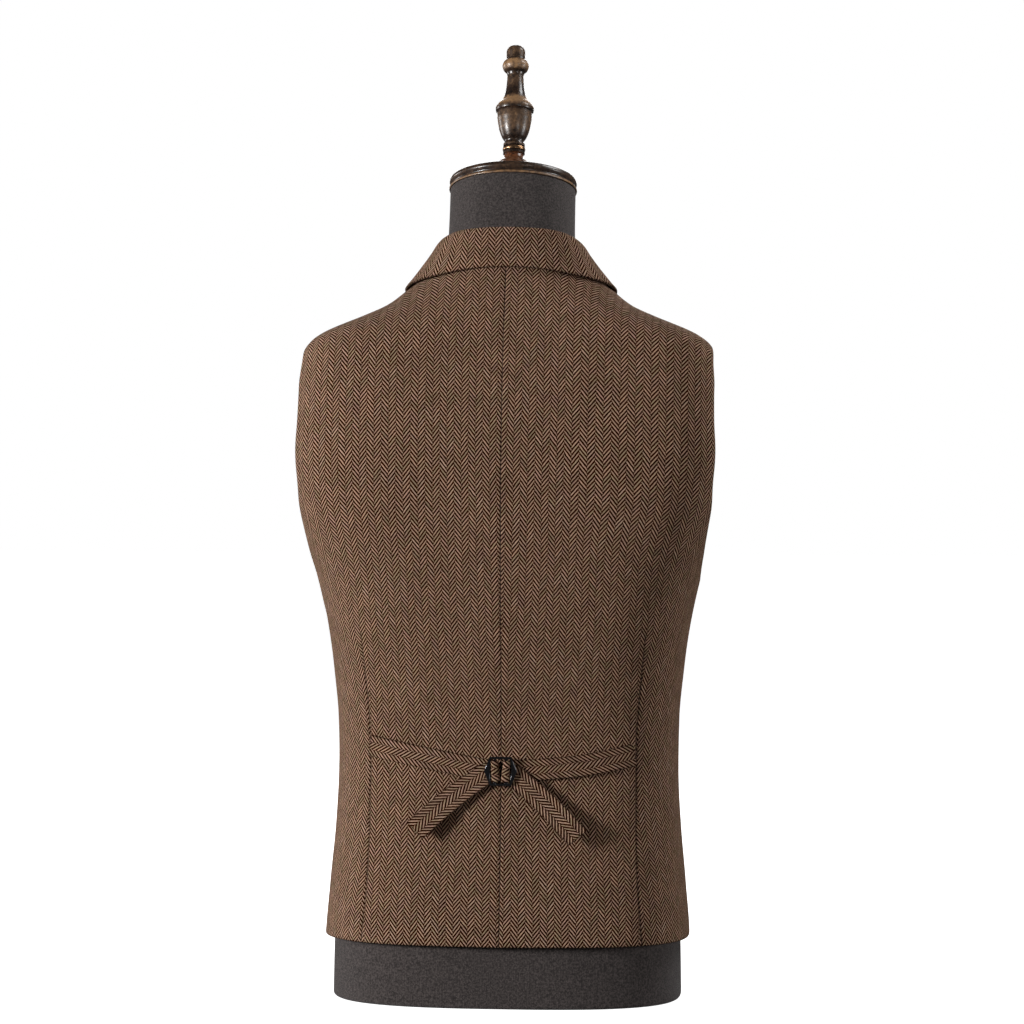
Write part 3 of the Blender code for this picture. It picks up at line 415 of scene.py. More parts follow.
def columns(names, rows, lengths):
    """A table in millimetres as named columns, of which the lengths are in metres."""
    values = np.array(rows, float).T
    return {
        name: column * MM if name in lengths else column for name, column in zip(names, values)
    }


def through(keys, values, at):
    """Smooth curve through the values that never overshoots them, as PCHIP does."""
    steps = np.diff(keys)
    rises = np.diff(values) / steps
    slopes = np.empty(len(keys))
    slopes[0], slopes[-1] = rises[0], rises[-1]
    before, after = rises[:-1], rises[1:]
    same_way = before * after > 0
    near, far = 2 * steps[1:] + steps[:-1], steps[1:] + 2 * steps[:-1]
    safe_before, safe_after = np.where(same_way, before, 1.0), np.where(same_way, after, 1.0)
    mean = (near + far) / (near / safe_before + far / safe_after)
    slopes[1:-1] = np.where(same_way, mean, 0.0)
    at = np.clip(at, keys[0], keys[-1])
    i = np.clip(np.searchsorted(keys, at) - 1, 0, len(steps) - 1)
    t = (at - keys[i]) / steps[i]
    flat = t * t * (3 - 2 * t)
    return (
        values[i] * (1 - flat)
        + values[i + 1] * flat
        + steps[i] * (slopes[i] * t * (1 - t) ** 2 - slopes[i + 1] * t * t * (1 - t))
    )


BODY = columns(SECTION_COLUMNS, SECTIONS, ("height", "half_width", "back", "front", "side"))


def by_height(table, heights, column=1):
    """A table's values at some heights, all in metres, of which its first column has the keys."""
    rows = np.array(table, float) * MM
    return through(rows[:, 0], rows[:, column], heights)


def section(height, inset=0.0):
    """The body's half-width, back, front and side at a height, and the powers of its curves."""
    values = [through(BODY["height"], BODY[name], height) for name in SECTION_COLUMNS[1:]]
    half_width, back, front, side, *powers = values
    shift = DEPTH_SHIFT
    return half_width - inset, back - inset + shift, front + inset + shift, side + shift, *powers


def ring_point(height, angle, inset=0.0):
    """A point of the body at a height and an angle, from 0 behind to 180 in front."""
    half_width, back, front, side, back_power, front_power = section(height, inset)
    turn = np.radians(angle)
    across, along = np.sin(turn), np.cos(turn)
    power = np.where(along > 0, back_power, front_power)
    reach = (np.abs(across) ** power + np.abs(along) ** power) ** (-1 / power)
    x = half_width * across * reach
    y = side + np.where(along > 0, back - side, side - front) * along * reach
    return np.stack(np.broadcast_arrays(x, y, height), -1)


def unit(vectors):
    """Vectors made one long."""
    return vectors / np.maximum(np.linalg.norm(vectors, axis=-1, keepdims=True), 1e-12)


def outward(height, angle):
    round_ring = ring_point(height, angle + NORMAL_TURN) - ring_point(height, angle - NORMAL_TURN)
    up = ring_point(height + NORMAL_RISE, angle) - ring_point(height - NORMAL_RISE, angle)
    return unit(np.cross(up, round_ring))


def angle_at_depth(height, y):
    _, back, front, side, back_power, front_power = section(height)
    behind = y > side
    power = np.where(behind, back_power, front_power)
    along = np.clip((y - side) / np.where(behind, back - side, side - front), -1, 1)
    return np.degrees(np.arctan2((1 - np.abs(along) ** power) ** (1 / power), along))


def angle_at_width(height, x, at_back):
    half_width, _, _, _, back_power, front_power = section(height)
    power = back_power if at_back else front_power
    across = np.clip(x / half_width, -1, 1)
    turn = np.degrees(np.arctan2(across, (1 - np.abs(across) ** power) ** (1 / power)))
    return turn if at_back else 180 - turn


def eased(value, none, full):
    """0 at one value, 1 at the other and smooth between."""
    share = np.clip((value - none) / (full - none), 0, 1)
    return share * share * (3 - 2 * share)


def creases(points, table):
    """Height of the creases in a table at points of the body."""
    total = np.zeros(points.shape[:-1])
    for x, low, to_x, to_low, width, rise in table:
        start, way = np.array((x, low)) * MM, np.array((to_x - x, to_low - low)) * MM
        place = points[..., (0, 2)] - start
        share = (place @ way) / (way @ way)
        aside = np.linalg.norm(place - share[..., None] * way, axis=-1)
        fade = eased(share, 0, CREASE_END) * eased(share, 1, 1 - CREASE_END)
        total += rise * MM * fade * np.exp(-((aside / (width * MM)) ** 2))
    return total


def relief(points):
    """Height of the cloth's waves and creases at points of the body, none on the shoulders."""
    total = np.zeros(points.shape[:-1])
    for size, way, start in WAVES:
        total += size * MM * np.sin(points @ np.array(way) + start)
    at_back = points[..., 1] > DEPTH_SHIFT
    total += np.where(at_back, creases(points, BACK_CREASES), creases(points, FRONT_CREASES))
    ridge = RIDGE_RISE * np.clip(1 - np.abs(points[..., 0]) / RIDGE_REACH, 0, 1) ** 2
    total += np.where(at_back, ridge, 0.0)
    return total * eased(points[..., 2], WAVES_END, WAVES_FULL)


def on_body(x, height, lift, at_back):
    """A point above the cloth of the back or front."""
    angle = angle_at_width(height, x, at_back)
    place = ring_point(height, angle)
    rise = np.asarray(lift) + relief(place)
    return place + rise[..., None] * outward(height, angle)


def armhole_depth(height, side_name):
    """The y of a panel's outer border, at the side seam or the armhole."""
    side = section(height)[3]
    hole = by_height(ARMHOLE, height, 1 if side_name == "back" else 2)
    inside_hole = (height > ARMPIT) & (height < SHOULDER_TIP)
    gap = SEAM_GAP / 2 if side_name == "back" else -SEAM_GAP / 2
    return side + np.where(inside_hole, hole, 0.0) + gap


def lap_lift(points):
    """How far the left front lies above the body where it laps over the right one."""
    near_edge = eased(points[..., 0], LAP_BEGINS, LAP_FULL)
    below_neck = eased(points[..., 2], LAP_TOP, LAP_TOP_FULL)
    return LAP_LIFT * near_edge * below_neck


# ---- cloth meshes ----


def grid_normals(grid):
    """Unit normals of a surface given as rows of points."""
    return unit(np.cross(np.gradient(grid, axis=0), np.gradient(grid, axis=1)))


def walked(points, axis=0):
    """Distance walked along one axis of a grid of points."""
    steps = np.linalg.norm(np.diff(points, axis=axis), axis=-1)
    start = np.zeros_like(np.take(steps, [0], axis=axis))
    return np.concatenate([start, np.cumsum(steps, axis=axis)], axis=axis)


def spaced(length, step, start=True, end=True):
    """Places a step apart along a length, and closer together at the borders asked for."""
    places = list(np.linspace(0, length, max(2, round(length / step)) + 1))
    if start:
        places = [p for p in places if p > BORDER_CLEAR] + list(BORDER_STEPS)
    if end:
        places = [p for p in places if p < length - BORDER_CLEAR]
        places += [length - step for step in BORDER_STEPS]
    return np.array(sorted(places))


def distance_to(grid, lines):
    """How far every point of a grid is from some lines of points."""
    places = list(lines)
    for share in (0.25, 0.5, 0.75):
        places += [line[:-1] + (line[1:] - line[:-1]) * share for line in lines]
    places = np.concatenate(places)
    tree = KDTree(len(places))
    for index, place in enumerate(places):
        tree.insert(place, index)
    tree.balance()
    found = [tree.find(place)[2] for place in grid.reshape(-1, 3)]
    return np.array(found).reshape(grid.shape[:2])


def all_round(grid):
    """The four borders of a grid."""
    return [grid[0], grid[-1], grid[:, 0], grid[:, -1]]


def edge_profile(distance):
    """Share of the cloth's thickness near a turned edge: round at the rim, then swollen."""
    near = np.clip(distance / EDGE_ROUND, 0, 1)
    rounding = EDGE_LEFT + (1 - EDGE_LEFT) * np.sqrt(1 - (1 - near) ** 2)
    swell = EDGE_SWELL * np.exp(-(((distance - EDGE_SWELL_AT) / EDGE_SWELL_WIDTH) ** 2))
    return rounding * (1 + swell)


def thickened(middle, normal, thickness, share=1.0):
    """Both faces of cloth round a middle surface, thinner where the share is less."""
    half = normal * (thickness / 2 * np.broadcast_to(share, middle.shape[:2]))[..., None]
    return middle + half, middle - half


def interpolated(grid, keys, at, axis):
    """A grid of points read at other places along one axis."""
    lines = np.moveaxis(grid, axis, 0)
    result = np.empty((len(at), *lines.shape[1:]))
    for place in np.ndindex(*lines.shape[1:]):
        result[(slice(None), *place)] = through(keys, lines[(slice(None), *place)], at)
    return np.moveaxis(result, 0, axis)


def refined(grid, steps):
    """A coarse grid of points as a fine one, with a step for each of its two axes."""
    for axis, step in enumerate(steps):
        keys = walked(grid, axis).mean(axis=1 - axis)
        grid = interpolated(grid, keys, spaced(keys[-1], step), axis)
    return grid


def linked(name, data):
    """A new object in the scene that shows the data."""
    made = bpy.data.objects.new(name, data)
    bpy.context.scene.collection.objects.link(made)
    return made


def faced_out(mesh, weld=0.0):
    """Turn a mesh's faces outward, with points welded that lie within a distance."""
    shaped = bmesh.new()
    shaped.from_mesh(mesh)
    if weld:
        bmesh.ops.remove_doubles(shaped, verts=shaped.verts, dist=weld)
    bmesh.ops.recalc_face_normals(shaped, faces=shaped.faces)
    shaped.to_mesh(mesh)
    shaped.free()
    return mesh


def closed_mesh(name, vertices, faces):
    """A mesh with its faces pointing out."""
    mesh = bpy.data.meshes.new(name)
    mesh.from_pydata(np.asarray(vertices, float).tolist(), [], faces)
    return faced_out(mesh)


def settled_mesh(made):
    """The mesh of an object where it stands, with its curve or modifiers settled."""
    bpy.context.view_layer.update()
    evaluated = made.evaluated_get(bpy.context.evaluated_depsgraph_get())
    mesh = bpy.data.meshes.new_from_object(evaluated)
    mesh.transform(made.matrix_world)
    bpy.data.objects.remove(made)
    return mesh


def add_piece(name, mesh, slot_name, nodes=(), surface=None, sharp=SHARP_ANGLE):
    """A piece of the visual model, in place of the CAD nodes that it stands for."""
    mesh.materials.clear()
    mesh.materials.append(surface or surface_of(slot_name))
    mesh.shade_smooth()
    made = linked(f"{name}_finish" if nodes else name, mesh)
    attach(made, "root")
    if nodes:
        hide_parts(*nodes)
    if sharp:
        mesh.set_sharp_from_angle(angle=sharp)
    return made


def ring_faces(count, sides, closed=False):
    """Faces between rings of points, numbered ring by ring, and back to the first if closed."""
    index = np.arange(count * sides).reshape(count, sides)
    if closed:
        index = np.concatenate([index, index[:1]])
    onward = np.roll(index, -1, axis=1)
    quads = np.stack([index[:-1], onward[:-1], onward[1:], index[1:]], -1)
    return quads.reshape(-1, 4).tolist()


def tube(rings):
    """Vertices and faces of a tube through rings of points, closed at both ends."""
    count, sides = rings.shape[:2]
    first, last = list(range(sides)), list(range((count - 1) * sides, count * sides))
    return rings.reshape(-1, 3), [*ring_faces(count, sides), first[::-1], last]


def joined(parts):
    """Vertices and faces of several meshes as one."""
    vertices, faces = [], []
    for points, own_faces in parts:
        faces += [[number + len(vertices) for number in face] for face in own_faces]
        vertices += points.tolist()
    return vertices, faces


def turns(sides):
    """Angles of a regular polygon's corners."""
    return np.arange(sides) * 2 * math.pi / sides


def round_axis(radius, height, turn_by):
    """Points at some radius and height round the Z axis."""
    x, y = radius * np.cos(turn_by), radius * np.sin(turn_by)
    return np.stack(np.broadcast_arrays(x, y, height), -1)


def placed(points, place):
    """Points moved by a matrix."""
    matrix = np.array(place)
    return points @ matrix[:3, :3].T + matrix[:3, 3]


def add_cloth(name, outer, inner, flat, distance, jump=None):
    """Closed cloth between two grids, with its flat pattern in metres as the UV map "cloth".

    The distance to the nearest edge or seam gives the attribute "edge", the strength of the painted
    shade along edges and seams: 1 there and 0 within.
    A jump is a column and a width for every row. Past that column the pattern is shifted by
    the width, because a dart takes up that much of the cloth.
    """
    rows, count = outer.shape[:2]
    total = rows * count
    flat = flat + np.array(PATTERN_STARTS[name]) * MM
    vertices = np.concatenate([outer.reshape(-1, 3), inner.reshape(-1, 3)])
    index = np.arange(total).reshape(rows, count)
    quads = np.stack([index[:-1, :-1], index[:-1, 1:], index[1:, 1:], index[1:, :-1]], -1)
    quads = quads.reshape(-1, 4)
    border = [*index[0], *index[1:, -1], *index[-1, -2::-1], *index[-2:0:-1, 0]]
    rim = [(a, a + total, b + total, b) for a, b in zip(border, border[1:] + border[:1])]
    faces = np.concatenate([quads, quads[:, ::-1] + total, np.array(rim)])

    corners = flat.reshape(-1, 2)[faces % total]
    size, area = np.ptp(flat, axis=(0, 1)), pattern_area(flat)
    if jump:
        column, widths = jump
        beyond = (faces % total % count).min(axis=1) >= column
        side = np.sign(flat[rows // 2, -1, 0])
        corners[..., 0] += side * np.where(beyond[:, None], widths[faces % total // count], 0)
        size = size + (widths.max(), 0)
        area += (widths[:-1] * np.diff(flat[:, column, 1])).sum()

    mesh = bpy.data.meshes.new(name)
    mesh.from_pydata(vertices.tolist(), [], faces.tolist())
    layer = mesh.uv_layers.new(name=PATTERN_MAP)
    layer.data.foreach_set("uv", corners.reshape(-1).astype(np.float32))
    middle = quads[len(quads) // 2]
    facing = np.cross(*(vertices[middle[1:3]] - vertices[middle[0]]))
    if facing @ (vertices[middle[0]] - vertices[middle[0] + total]) < 0:
        mesh.flip_normals()
    # painted shade along the edges and seams, strongest on them
    edge = mesh.attributes.new("edge", "FLOAT", "POINT")
    painted_shade = np.tile(np.exp(-((distance / EDGE_SHADE) ** 2)).reshape(-1), 2)
    edge.data.foreach_set("value", painted_shade.astype(np.float32))
    piece = add_piece(name, mesh, "tweed", (name,), sharp=None)
    return piece


def pattern_area(flat):
    """Area of a grid in its flat pattern."""
    one, two = flat[1:, 1:] - flat[:-1, :-1], flat[1:, :-1] - flat[:-1, 1:]
    return np.abs(one[..., 0] * two[..., 1] - one[..., 1] * two[..., 0]).sum() / 2


# ---- flat pattern of the panels ----


def arc_from_centre(height, angle, centre):
    """Length along a ring from the centre back, 0, or the centre front, 180, to an angle."""
    share = np.linspace(0, 1, ARC_SAMPLES)
    height, angle = np.broadcast_arrays(height, angle)
    points = ring_point(height[..., None], centre + (angle[..., None] - centre) * share)
    return np.linalg.norm(np.diff(points, axis=-2), axis=-1).sum(axis=-1)


def bilinear(table, row, column):
    """A table read between its rows and columns."""
    row = np.clip(row, 0, table.shape[0] - 1.001)
    column = np.clip(column, 0, table.shape[1] - 1.001)
    i, j = row.astype(int), column.astype(int)
    down, right = row - i, column - j
    above = table[i, j] * (1 - right) + table[i, j + 1] * right
    below = table[i + 1, j] * (1 - right) + table[i + 1, j + 1] * right
    return above * (1 - down) + below * down


def grain_lengths(at_back):
    """Lengths up the grain to the chest line, for heights and distances from the centre line.

    The grain keeps its distance from the centre, measured round the body.
    """
    heights = np.arange(FRONT_POINT, CHEST_LINE + GRAIN_STEP, GRAIN_STEP)
    across = np.arange(0, GRAIN_REACH, GRAIN_STEP)
    angles = np.linspace(0.0 if at_back else 180.0, 90.0, 2 * ARC_SAMPLES)
    lines = []
    for height in heights:
        ring = ring_point(np.full_like(angles, height), angles)
        angle = np.interp(across, walked(ring), angles)
        lines.append(ring_point(np.full_like(angle, height), angle))
    return walked(np.array(lines))


def grain_rise(heights, x, at_back):
    """Length along the grain from the chest line, to each point and to the shoulder's ridge.

    Each line of the grain keeps its x here, and its samples close up towards the ridge.
    """
    ridge = np.linspace(CHEST_LINE, heights.max(), RIDGE_SAMPLES)
    widths = np.minimum.accumulate(section(ridge)[0])
    line = np.arange(0, GRAIN_REACH, GRAIN_STEP)
    end = np.interp(-line, -widths, ridge)
    levels = end - (end - CHEST_LINE) * np.linspace(1, 0, GRAIN_ROWS)[:, None] ** 2
    rises = walked(ring_point(levels, angle_at_width(levels, line, at_back)))
    end = np.interp(-x, -widths, ridge)
    left = np.clip((end - heights) / np.maximum(end - CHEST_LINE, HAIR), 0, 1)
    whole = bilinear(rises, np.full_like(x, len(rises)), x / GRAIN_STEP)
    return bilinear(rises, (1 - np.sqrt(left)) * (len(rises) - 1), x / GRAIN_STEP), whole


def flat_pattern(heights, angles, at_back):
    """Flat place of a panel's points in metres: from the centre line, and up the grain.

    Above the chest line the grain keeps its x, and the cloth keeps its length along it.
    """
    place = ring_point(heights, angles)
    level = np.minimum(heights, CHEST_LINE)
    level_angle = np.where(
        heights <= CHEST_LINE, angles, angle_at_width(level, place[..., 0], at_back)
    )
    centre = 0.0 if at_back else 180.0
    across = np.sign(place[..., 0]) * arc_from_centre(level, level_angle, centre)
    column = np.abs(across) / GRAIN_STEP
    up = bilinear(grain_lengths(at_back), (level - FRONT_POINT) / GRAIN_STEP, column)
    x = np.abs(place[..., 0])
    rise, whole = grain_rise(heights, x, at_back)
    far_rise, far_whole = grain_rise(heights, x, not at_back)
    past_ridge = angles > 90 if at_back else angles < 90
    rise = np.where(past_ridge, whole + far_whole - far_rise, rise)
    return np.stack([across, up + np.where(heights > CHEST_LINE, rise, 0)], -1)


# ---- panels ----


def panel_rows(top):
    """Heights of a panel's rows, closer together at its ends and where its edge turns."""
    heights = [HEM + step for step in BORDER_STEPS] + [top - step for step in BORDER_STEPS]
    lows, steps = np.array(ROW_STEPS).T * MM
    for low, high, step in zip(lows, [*lows[1:], top - BORDER_STEPS[-1]], steps):
        heights += list(np.linspace(low, high, max(1, round((high - low) / step)), endpoint=False))
    return np.array(sorted(heights))


def ring_stops(height, start, end, fixed_start, fixed_end, count):
    """Angles along a stretch of a ring: at fixed distances from its ends, and evenly between."""
    angles = np.linspace(start, end, ARC_SAMPLES)
    length = walked(ring_point(np.full_like(angles, height), angles))
    near, far = np.array(fixed_start), length[-1] - np.array(fixed_end)[::-1]
    between = np.linspace(near[-1], far[0], count + 1)[1:-1]
    return np.interp([*near, *between, *far], length, angles)


def back_grid():
    """Heights and angles of the left back's points, and the number of the dart's column."""
    rows = panel_rows(NECKLINE)
    start = angle_at_width(rows, np.full_like(rows, SEAM_GAP / 2), at_back=True)
    end = angle_at_depth(rows, armhole_depth(rows, "back"))
    dart = angle_at_width(rows, by_height(DART_LINE, rows), at_back=True)
    inside, outside = BACK_COLUMNS
    angles = []
    for row in zip(rows, start, dart, end):
        height, first, middle, last = row
        near = ring_stops(height, first, middle, BORDER_STEPS, DART_STEPS, inside)
        far = ring_stops(height, middle, last, DART_STEPS, BORDER_STEPS, outside)
        angles.append([*near, *far[1:]])
    column = len(BORDER_STEPS) + len(DART_STEPS) + inside - 2
    return np.repeat(rows[:, None], len(angles[0]), axis=1), np.array(angles), column


def front_grid():
    """Heights and angles of the left front's points, whose lower rows dip to the point."""
    rows = panel_rows(FRONT_TOP)
    end = angle_at_depth(rows, armhole_depth(rows, "front"))
    dip = (HEM - FRONT_POINT) * np.clip((LEVEL_ROWS - rows) / (LEVEL_ROWS - HEM), 0, 1)
    inner_height = rows - dip
    inner = by_height(FRONT_EDGE, inner_height)
    start = angle_at_width(inner_height, inner, at_back=False)
    angles = np.array([
        ring_stops(*row, BORDER_STEPS, BORDER_STEPS, FRONT_COLUMNS)
        for row in zip(rows, start, end)
    ])
    share = (angles - angles[:, :1]) / (angles[:, -1:] - angles[:, :1])
    heights = rows[:, None] - dip[:, None] * (1 - share) ** DIP_POWER
    return heights, angles


def seam_and_edge_lines(grid, heights, start_is_seam):
    """The panel's borders that are sewn to another panel, and those that are turned edges."""
    side = heights[:, -1]
    below, above = side <= ARMPIT + HAIR, side >= SHOULDER_TIP - HAIR
    seams = [grid[below, -1], grid[above, -1]]
    edges = [grid[0], grid[~below & ~above, -1]]
    (seams if start_is_seam else edges).append(grid[:, 0])
    return seams, edges


def panel(heights, angles, lift, sunk, start_is_seam):
    """Both faces of a left panel, with turned edges and sunk seams, and how far these are."""
    surface = ring_point(heights, angles)
    normal = outward(heights, angles)
    seams, edges = seam_and_edge_lines(surface, heights, start_is_seam)
    seam_distance = distance_to(surface, seams)
    sink = SEAM_SINK * np.exp(-((seam_distance / SEAM_SINK_WIDTH) ** 2)) + sunk
    outer = surface + (lift + relief(surface) - sink)[..., None] * normal
    edge_distance = distance_to(surface, edges)
    share = edge_profile(np.minimum(edge_distance, seam_distance))
    faces = thickened(outer - normal * CLOTH / 2, normal, CLOTH, share)
    return *faces, np.minimum(edge_distance, seam_distance * SEAM_SHADE)


def add_backs():
    heights, angles, dart_column = back_grid()
    surface = ring_point(heights, angles)
    dart_line = surface[:, dart_column]
    from_dart = distance_to(surface, [dart_line[heights[:, 0] <= DART_TOP]])
    fade = np.clip((DART_TOP - heights) / DART_FADE, 0, 1)
    sunk = DART_DEPTH * fade * np.exp(-((from_dart / DART_FOLD) ** 2))
    flat = flat_pattern(heights, angles, at_back=True)
    flat[..., 0] += by_height(CENTRE_INTAKE, heights)
    flat[..., 0] *= WEAVE_COLUMN * MM / by_height(COLUMN_WIDTHS, heights)
    flat[..., 1] -= LONG_STRETCH * np.maximum(flat[..., 1] - LONG_STRETCH_FROM, 0)
    widths = by_height(DART_INTAKE, heights[:, 0])
    for half, turned, side in LEFT_AND_RIGHT:
        name = f"back_{half}"
        outer, inner, distance = panel(heights, angles, 0.0, sunk, start_is_seam=True)
        # the dart's fold gets the same painted shade as the seams
        distance = np.minimum(distance, from_dart)
        beyond = np.maximum(flat[..., 0] - SIDE_STRETCH_FROM, 0)
        taken = SIDE_STRETCH[name] * beyond * eased(heights, *SIDE_STRETCH_HEIGHTS)
        own_flat = (flat - taken[..., None] * (1, 0)) * (side, 1)
        add_cloth(
            name, turned(outer), turned(inner), own_flat, distance,
            jump=(dart_column, widths),
        )


def add_fronts():
    heights, angles = front_grid()
    surface = ring_point(heights, angles)
    flat = flat_pattern(heights, angles, at_back=False)
    for half, turned, side in LEFT_AND_RIGHT:
        name = f"front_{half}"
        lift = lap_lift(surface) if half == "left" else 0.0
        outer, inner, distance = panel(heights, angles, lift, 0.0, start_is_seam=False)
        outer, inner = turned(outer), turned(inner)
        add_cloth(name, outer, inner, flat * (side, 1), distance)


# ---- lapels, collar and straps ----


def lapel_grid(lap):
    """Middle of the left lapel's cloth, row by row from its foot to the gorge."""
    edge = columns(LAPEL_COLUMNS, LAPEL_EDGE, ("x", "height"))
    share = np.linspace(0, 1, LAPEL_ROWS + 1)
    roll_height = LAPEL_FOOT + (GORGE_HEIGHT - LAPEL_FOOT) * share
    roll_x = by_height(FRONT_EDGE, roll_height)
    edge_x = through(edge["share"], edge["x"], share)
    edge_height = through(edge["share"], edge["height"], share)
    reach = np.hypot(edge_x - roll_x, edge_height - roll_height)
    way_x, way_height = (edge_x - roll_x) / reach, (edge_height - roll_height) / reach
    near, far = LAPEL_FLAT_LIFT
    grid = []
    for i in range(len(share)):
        stations = [(distance * MM, lift * MM) for distance, lift in LAPEL_ROLL]
        start = stations[-1][0]
        for step in np.linspace(0, 1, LAPEL_FLAT_COLUMNS + 1)[1:]:
            lift = near + (far - near) * step
            stations.append((start + (reach[i] - start) * step, lift))
        distance, lift = np.array(stations).T
        x, height = roll_x[i] + way_x[i] * distance, roll_height[i] + way_height[i] * distance
        flat = on_body(x, height, np.zeros_like(x), at_back=False)
        grid.append(on_body(x, height, lift + lap * lap_lift(flat), at_back=False))
    return np.array(grid)


def folded_cloth(name, middle, flat, rests_on, thickness=STRAP_CLOTH):
    """A cloth piece from the grid of its middle, with turned edges all round."""
    distance = distance_to(middle, all_round(middle))
    share = edge_profile(distance * CLOTH / thickness)
    outer, inner = thickened(middle, grid_normals(middle), thickness, share)
    return add_cloth(name, outer, inner, flat, distance)


def add_lapels():
    for half, turned, _ in LEFT_AND_RIGHT:
        name, lap = f"lapel_{half}", 1 if half == "left" else 0
        middle = turned(refined(lapel_grid(lap), (LAPEL_STEP, FOLD_STEP)))
        across = walked(middle, 1)
        along = np.broadcast_to(walked(middle)[:, [middle.shape[1] // 2]], across.shape)
        flat = np.stack([across, along], -1)
        folded_cloth(name, middle, flat, [f"front_{half}"], CLOTH)


def collar_station(seam, fold, edge):
    """Points from the neck seam up the stand, over the fold and down the leaf."""
    away, inward = unit(edge - fold), unit(seam - fold)
    apart = unit(away - inward)
    stand_top = fold + inward * COLLAR_FOLD_DEPTH - apart * COLLAR_FOLD_HALF
    leaf_top = fold + away * COLLAR_FOLD_DEPTH + apart * COLLAR_FOLD_HALF
    leaf = [leaf_top + (edge - leaf_top) * share for share in COLLAR_LEAF_SHARES]
    return [seam, (seam + stand_top) / 2, stand_top, fold, leaf_top, *leaf]


def collar_stations():
    """Stations of the left half, from the centre back to just before the gorge."""
    stations = []
    for table, at_back in ((COLLAR_BACK, True), (COLLAR_FRONT, False)):
        for place, *fold, edge_angle, edge_height in table:
            if at_back:
                height, angle, raised = NECKLINE, place, COLLAR_RAISE
            else:
                height, raised = place * MM, 0.0
                edge_x = by_height(FRONT_EDGE, height)
                angle = angle_at_width(height, edge_x - CLOTH / 2 - SEAM_GAP, at_back)
            seam = ring_point(height, angle) - outward(height, angle) * CLOTH / 2
            edge_at = edge_height * MM, edge_angle
            edge = ring_point(*edge_at) + outward(*edge_at) * COLLAR_EDGE_LIFT
            fold_point = np.array(fold) * MM + (0, DEPTH_SHIFT, 0)
            stations.append(collar_station(seam + (0, 0, raised), fold_point, edge))
    return stations


def gorge_station():
    """The collar's front end: along the gorge seam, then out along the notch."""
    start = np.array([by_height(FRONT_EDGE, GORGE_HEIGHT), GORGE_HEIGHT])
    corner, tip = np.array(NOTCH_CORNER), np.array(NOTCH_TIP)
    way = unit(corner - start)
    up = np.array([-way[1], way[0]]) * GORGE_CLEARANCE
    along = [
        (start + way * distance * MM + up, lift * MM) for distance, lift in LAPEL_ROLL + GORGE_LINE
    ]
    along += [(corner + (tip - corner) * share, NOTCH_LIFT) for share in NOTCH_SHARES]
    return [on_body(*place, lift, at_back=False) for place, lift in along]


def add_collar():
    half = np.array([*collar_stations(), gorge_station()])
    coarse = np.concatenate([(half * (-1, 1, 1))[:0:-1], half])
    middle = refined(coarse, (COLLAR_STEP, FOLD_STEP))
    across = walked(middle, 1)
    leaf_column = middle.shape[1] * 2 // 3  # about the middle of the leaf
    along = walked(middle)[:, [leaf_column]]
    along = np.broadcast_to(along - along[-1] / 2, across.shape)
    flat = np.stack([along, across], -1)
    folded_cloth("collar", middle, flat, ["back_left", "back_right"], CLOTH)


def splayed(x, height):
    """The x of a strap's fold, whose upper end leans away from the centre."""
    share = eased(np.abs(x), *SPLAY_REACH)
    return x + np.sign(x) * SPLAY * (height - BUCKLE_AT[1]) * share


def ribbon(line, wrap):
    """Middle of a strap that follows a line over the back, and its flat pattern."""
    track = columns(STRAP_COLUMNS, [*line, *wrap], STRAP_COLUMNS)
    steps = np.hypot(np.diff(track["x"]), np.diff(track["height"]))
    passed = np.concatenate([[0], np.cumsum(steps + np.abs(np.diff(track["lift"])))])
    straight = passed[len(line) - 1]
    at = spaced(straight, STRAP_STEP, end=not wrap)
    if wrap:
        round_bar = np.arange(straight, passed[-1], WRAP_STEP)[1:]
        at = np.concatenate([at, round_bar, [passed[-1]]])
    x, height, lift, width = (through(passed, track[name], at) for name in STRAP_COLUMNS)
    way = unit(np.stack([np.gradient(x, at), np.gradient(height, at)], -1))
    middle_width = track["width"].mean()
    edges = spaced(middle_width, STRAP_ACROSS_STEP) / middle_width * 2 - 1
    lines = []
    for edge in edges:
        reach = width / 2 * edge
        edge_x, edge_height = x - way[:, 1] * reach, height + way[:, 0] * reach
        if wrap:
            edge_x = splayed(edge_x, edge_height)
        lines.append(on_body(edge_x, edge_height, lift, at_back=True))
    middle = np.stack(lines, axis=1)
    along = walked(middle)[:, [len(edges) // 2]]
    return middle, np.stack(np.broadcast_arrays(edges * middle_width / 2, along), -1)


def add_straps():
    other_wrap = [(-x, *rest) for x, *rest in STRAP_WRAP]
    pieces = (
        ("strap_left", STRAP_LEFT, STRAP_WRAP, ["back_left", "buckle"]),
        ("strap_right", STRAP_RIGHT, other_wrap, ["back_right", "buckle"]),
        ("strap_end_left", TAIL_LEFT, (), ["back_left"]),
        ("strap_end_right", TAIL_RIGHT, (), ["back_right"]),
    )
    for name, line, wrap, rests_on in pieces:
        folded_cloth(name, *ribbon(line, wrap), rests_on)


# ---- hard trims ----


def buckle_outlines():
    """The buckle's hexagon and the three windows in it, in its own plane."""
    top, wide, end = BUCKLE_HALF_HEIGHT, BUCKLE_HALF_WIDTH, BUCKLE_END_HALF
    hexagon = [(end, top), (wide, 0), (end, -top), (-end, -top), (-wide, 0), (-end, top)]
    inner_top = top - BUCKLE_RIM
    inner_wide, inner_end = wide - BUCKLE_CORNER_RIM, end - BUCKLE_END_RIM
    near, far = BUCKLE_BAR
    side = [(far, inner_top), (inner_end, inner_top), (inner_wide, 0), (inner_end, -inner_top)]
    side.append((far, -inner_top))
    middle = [(near, inner_top), (near, -inner_top), (-near, -inner_top), (-near, inner_top)]
    return [hexagon, side, [(-x, z) for x, z in side], middle]


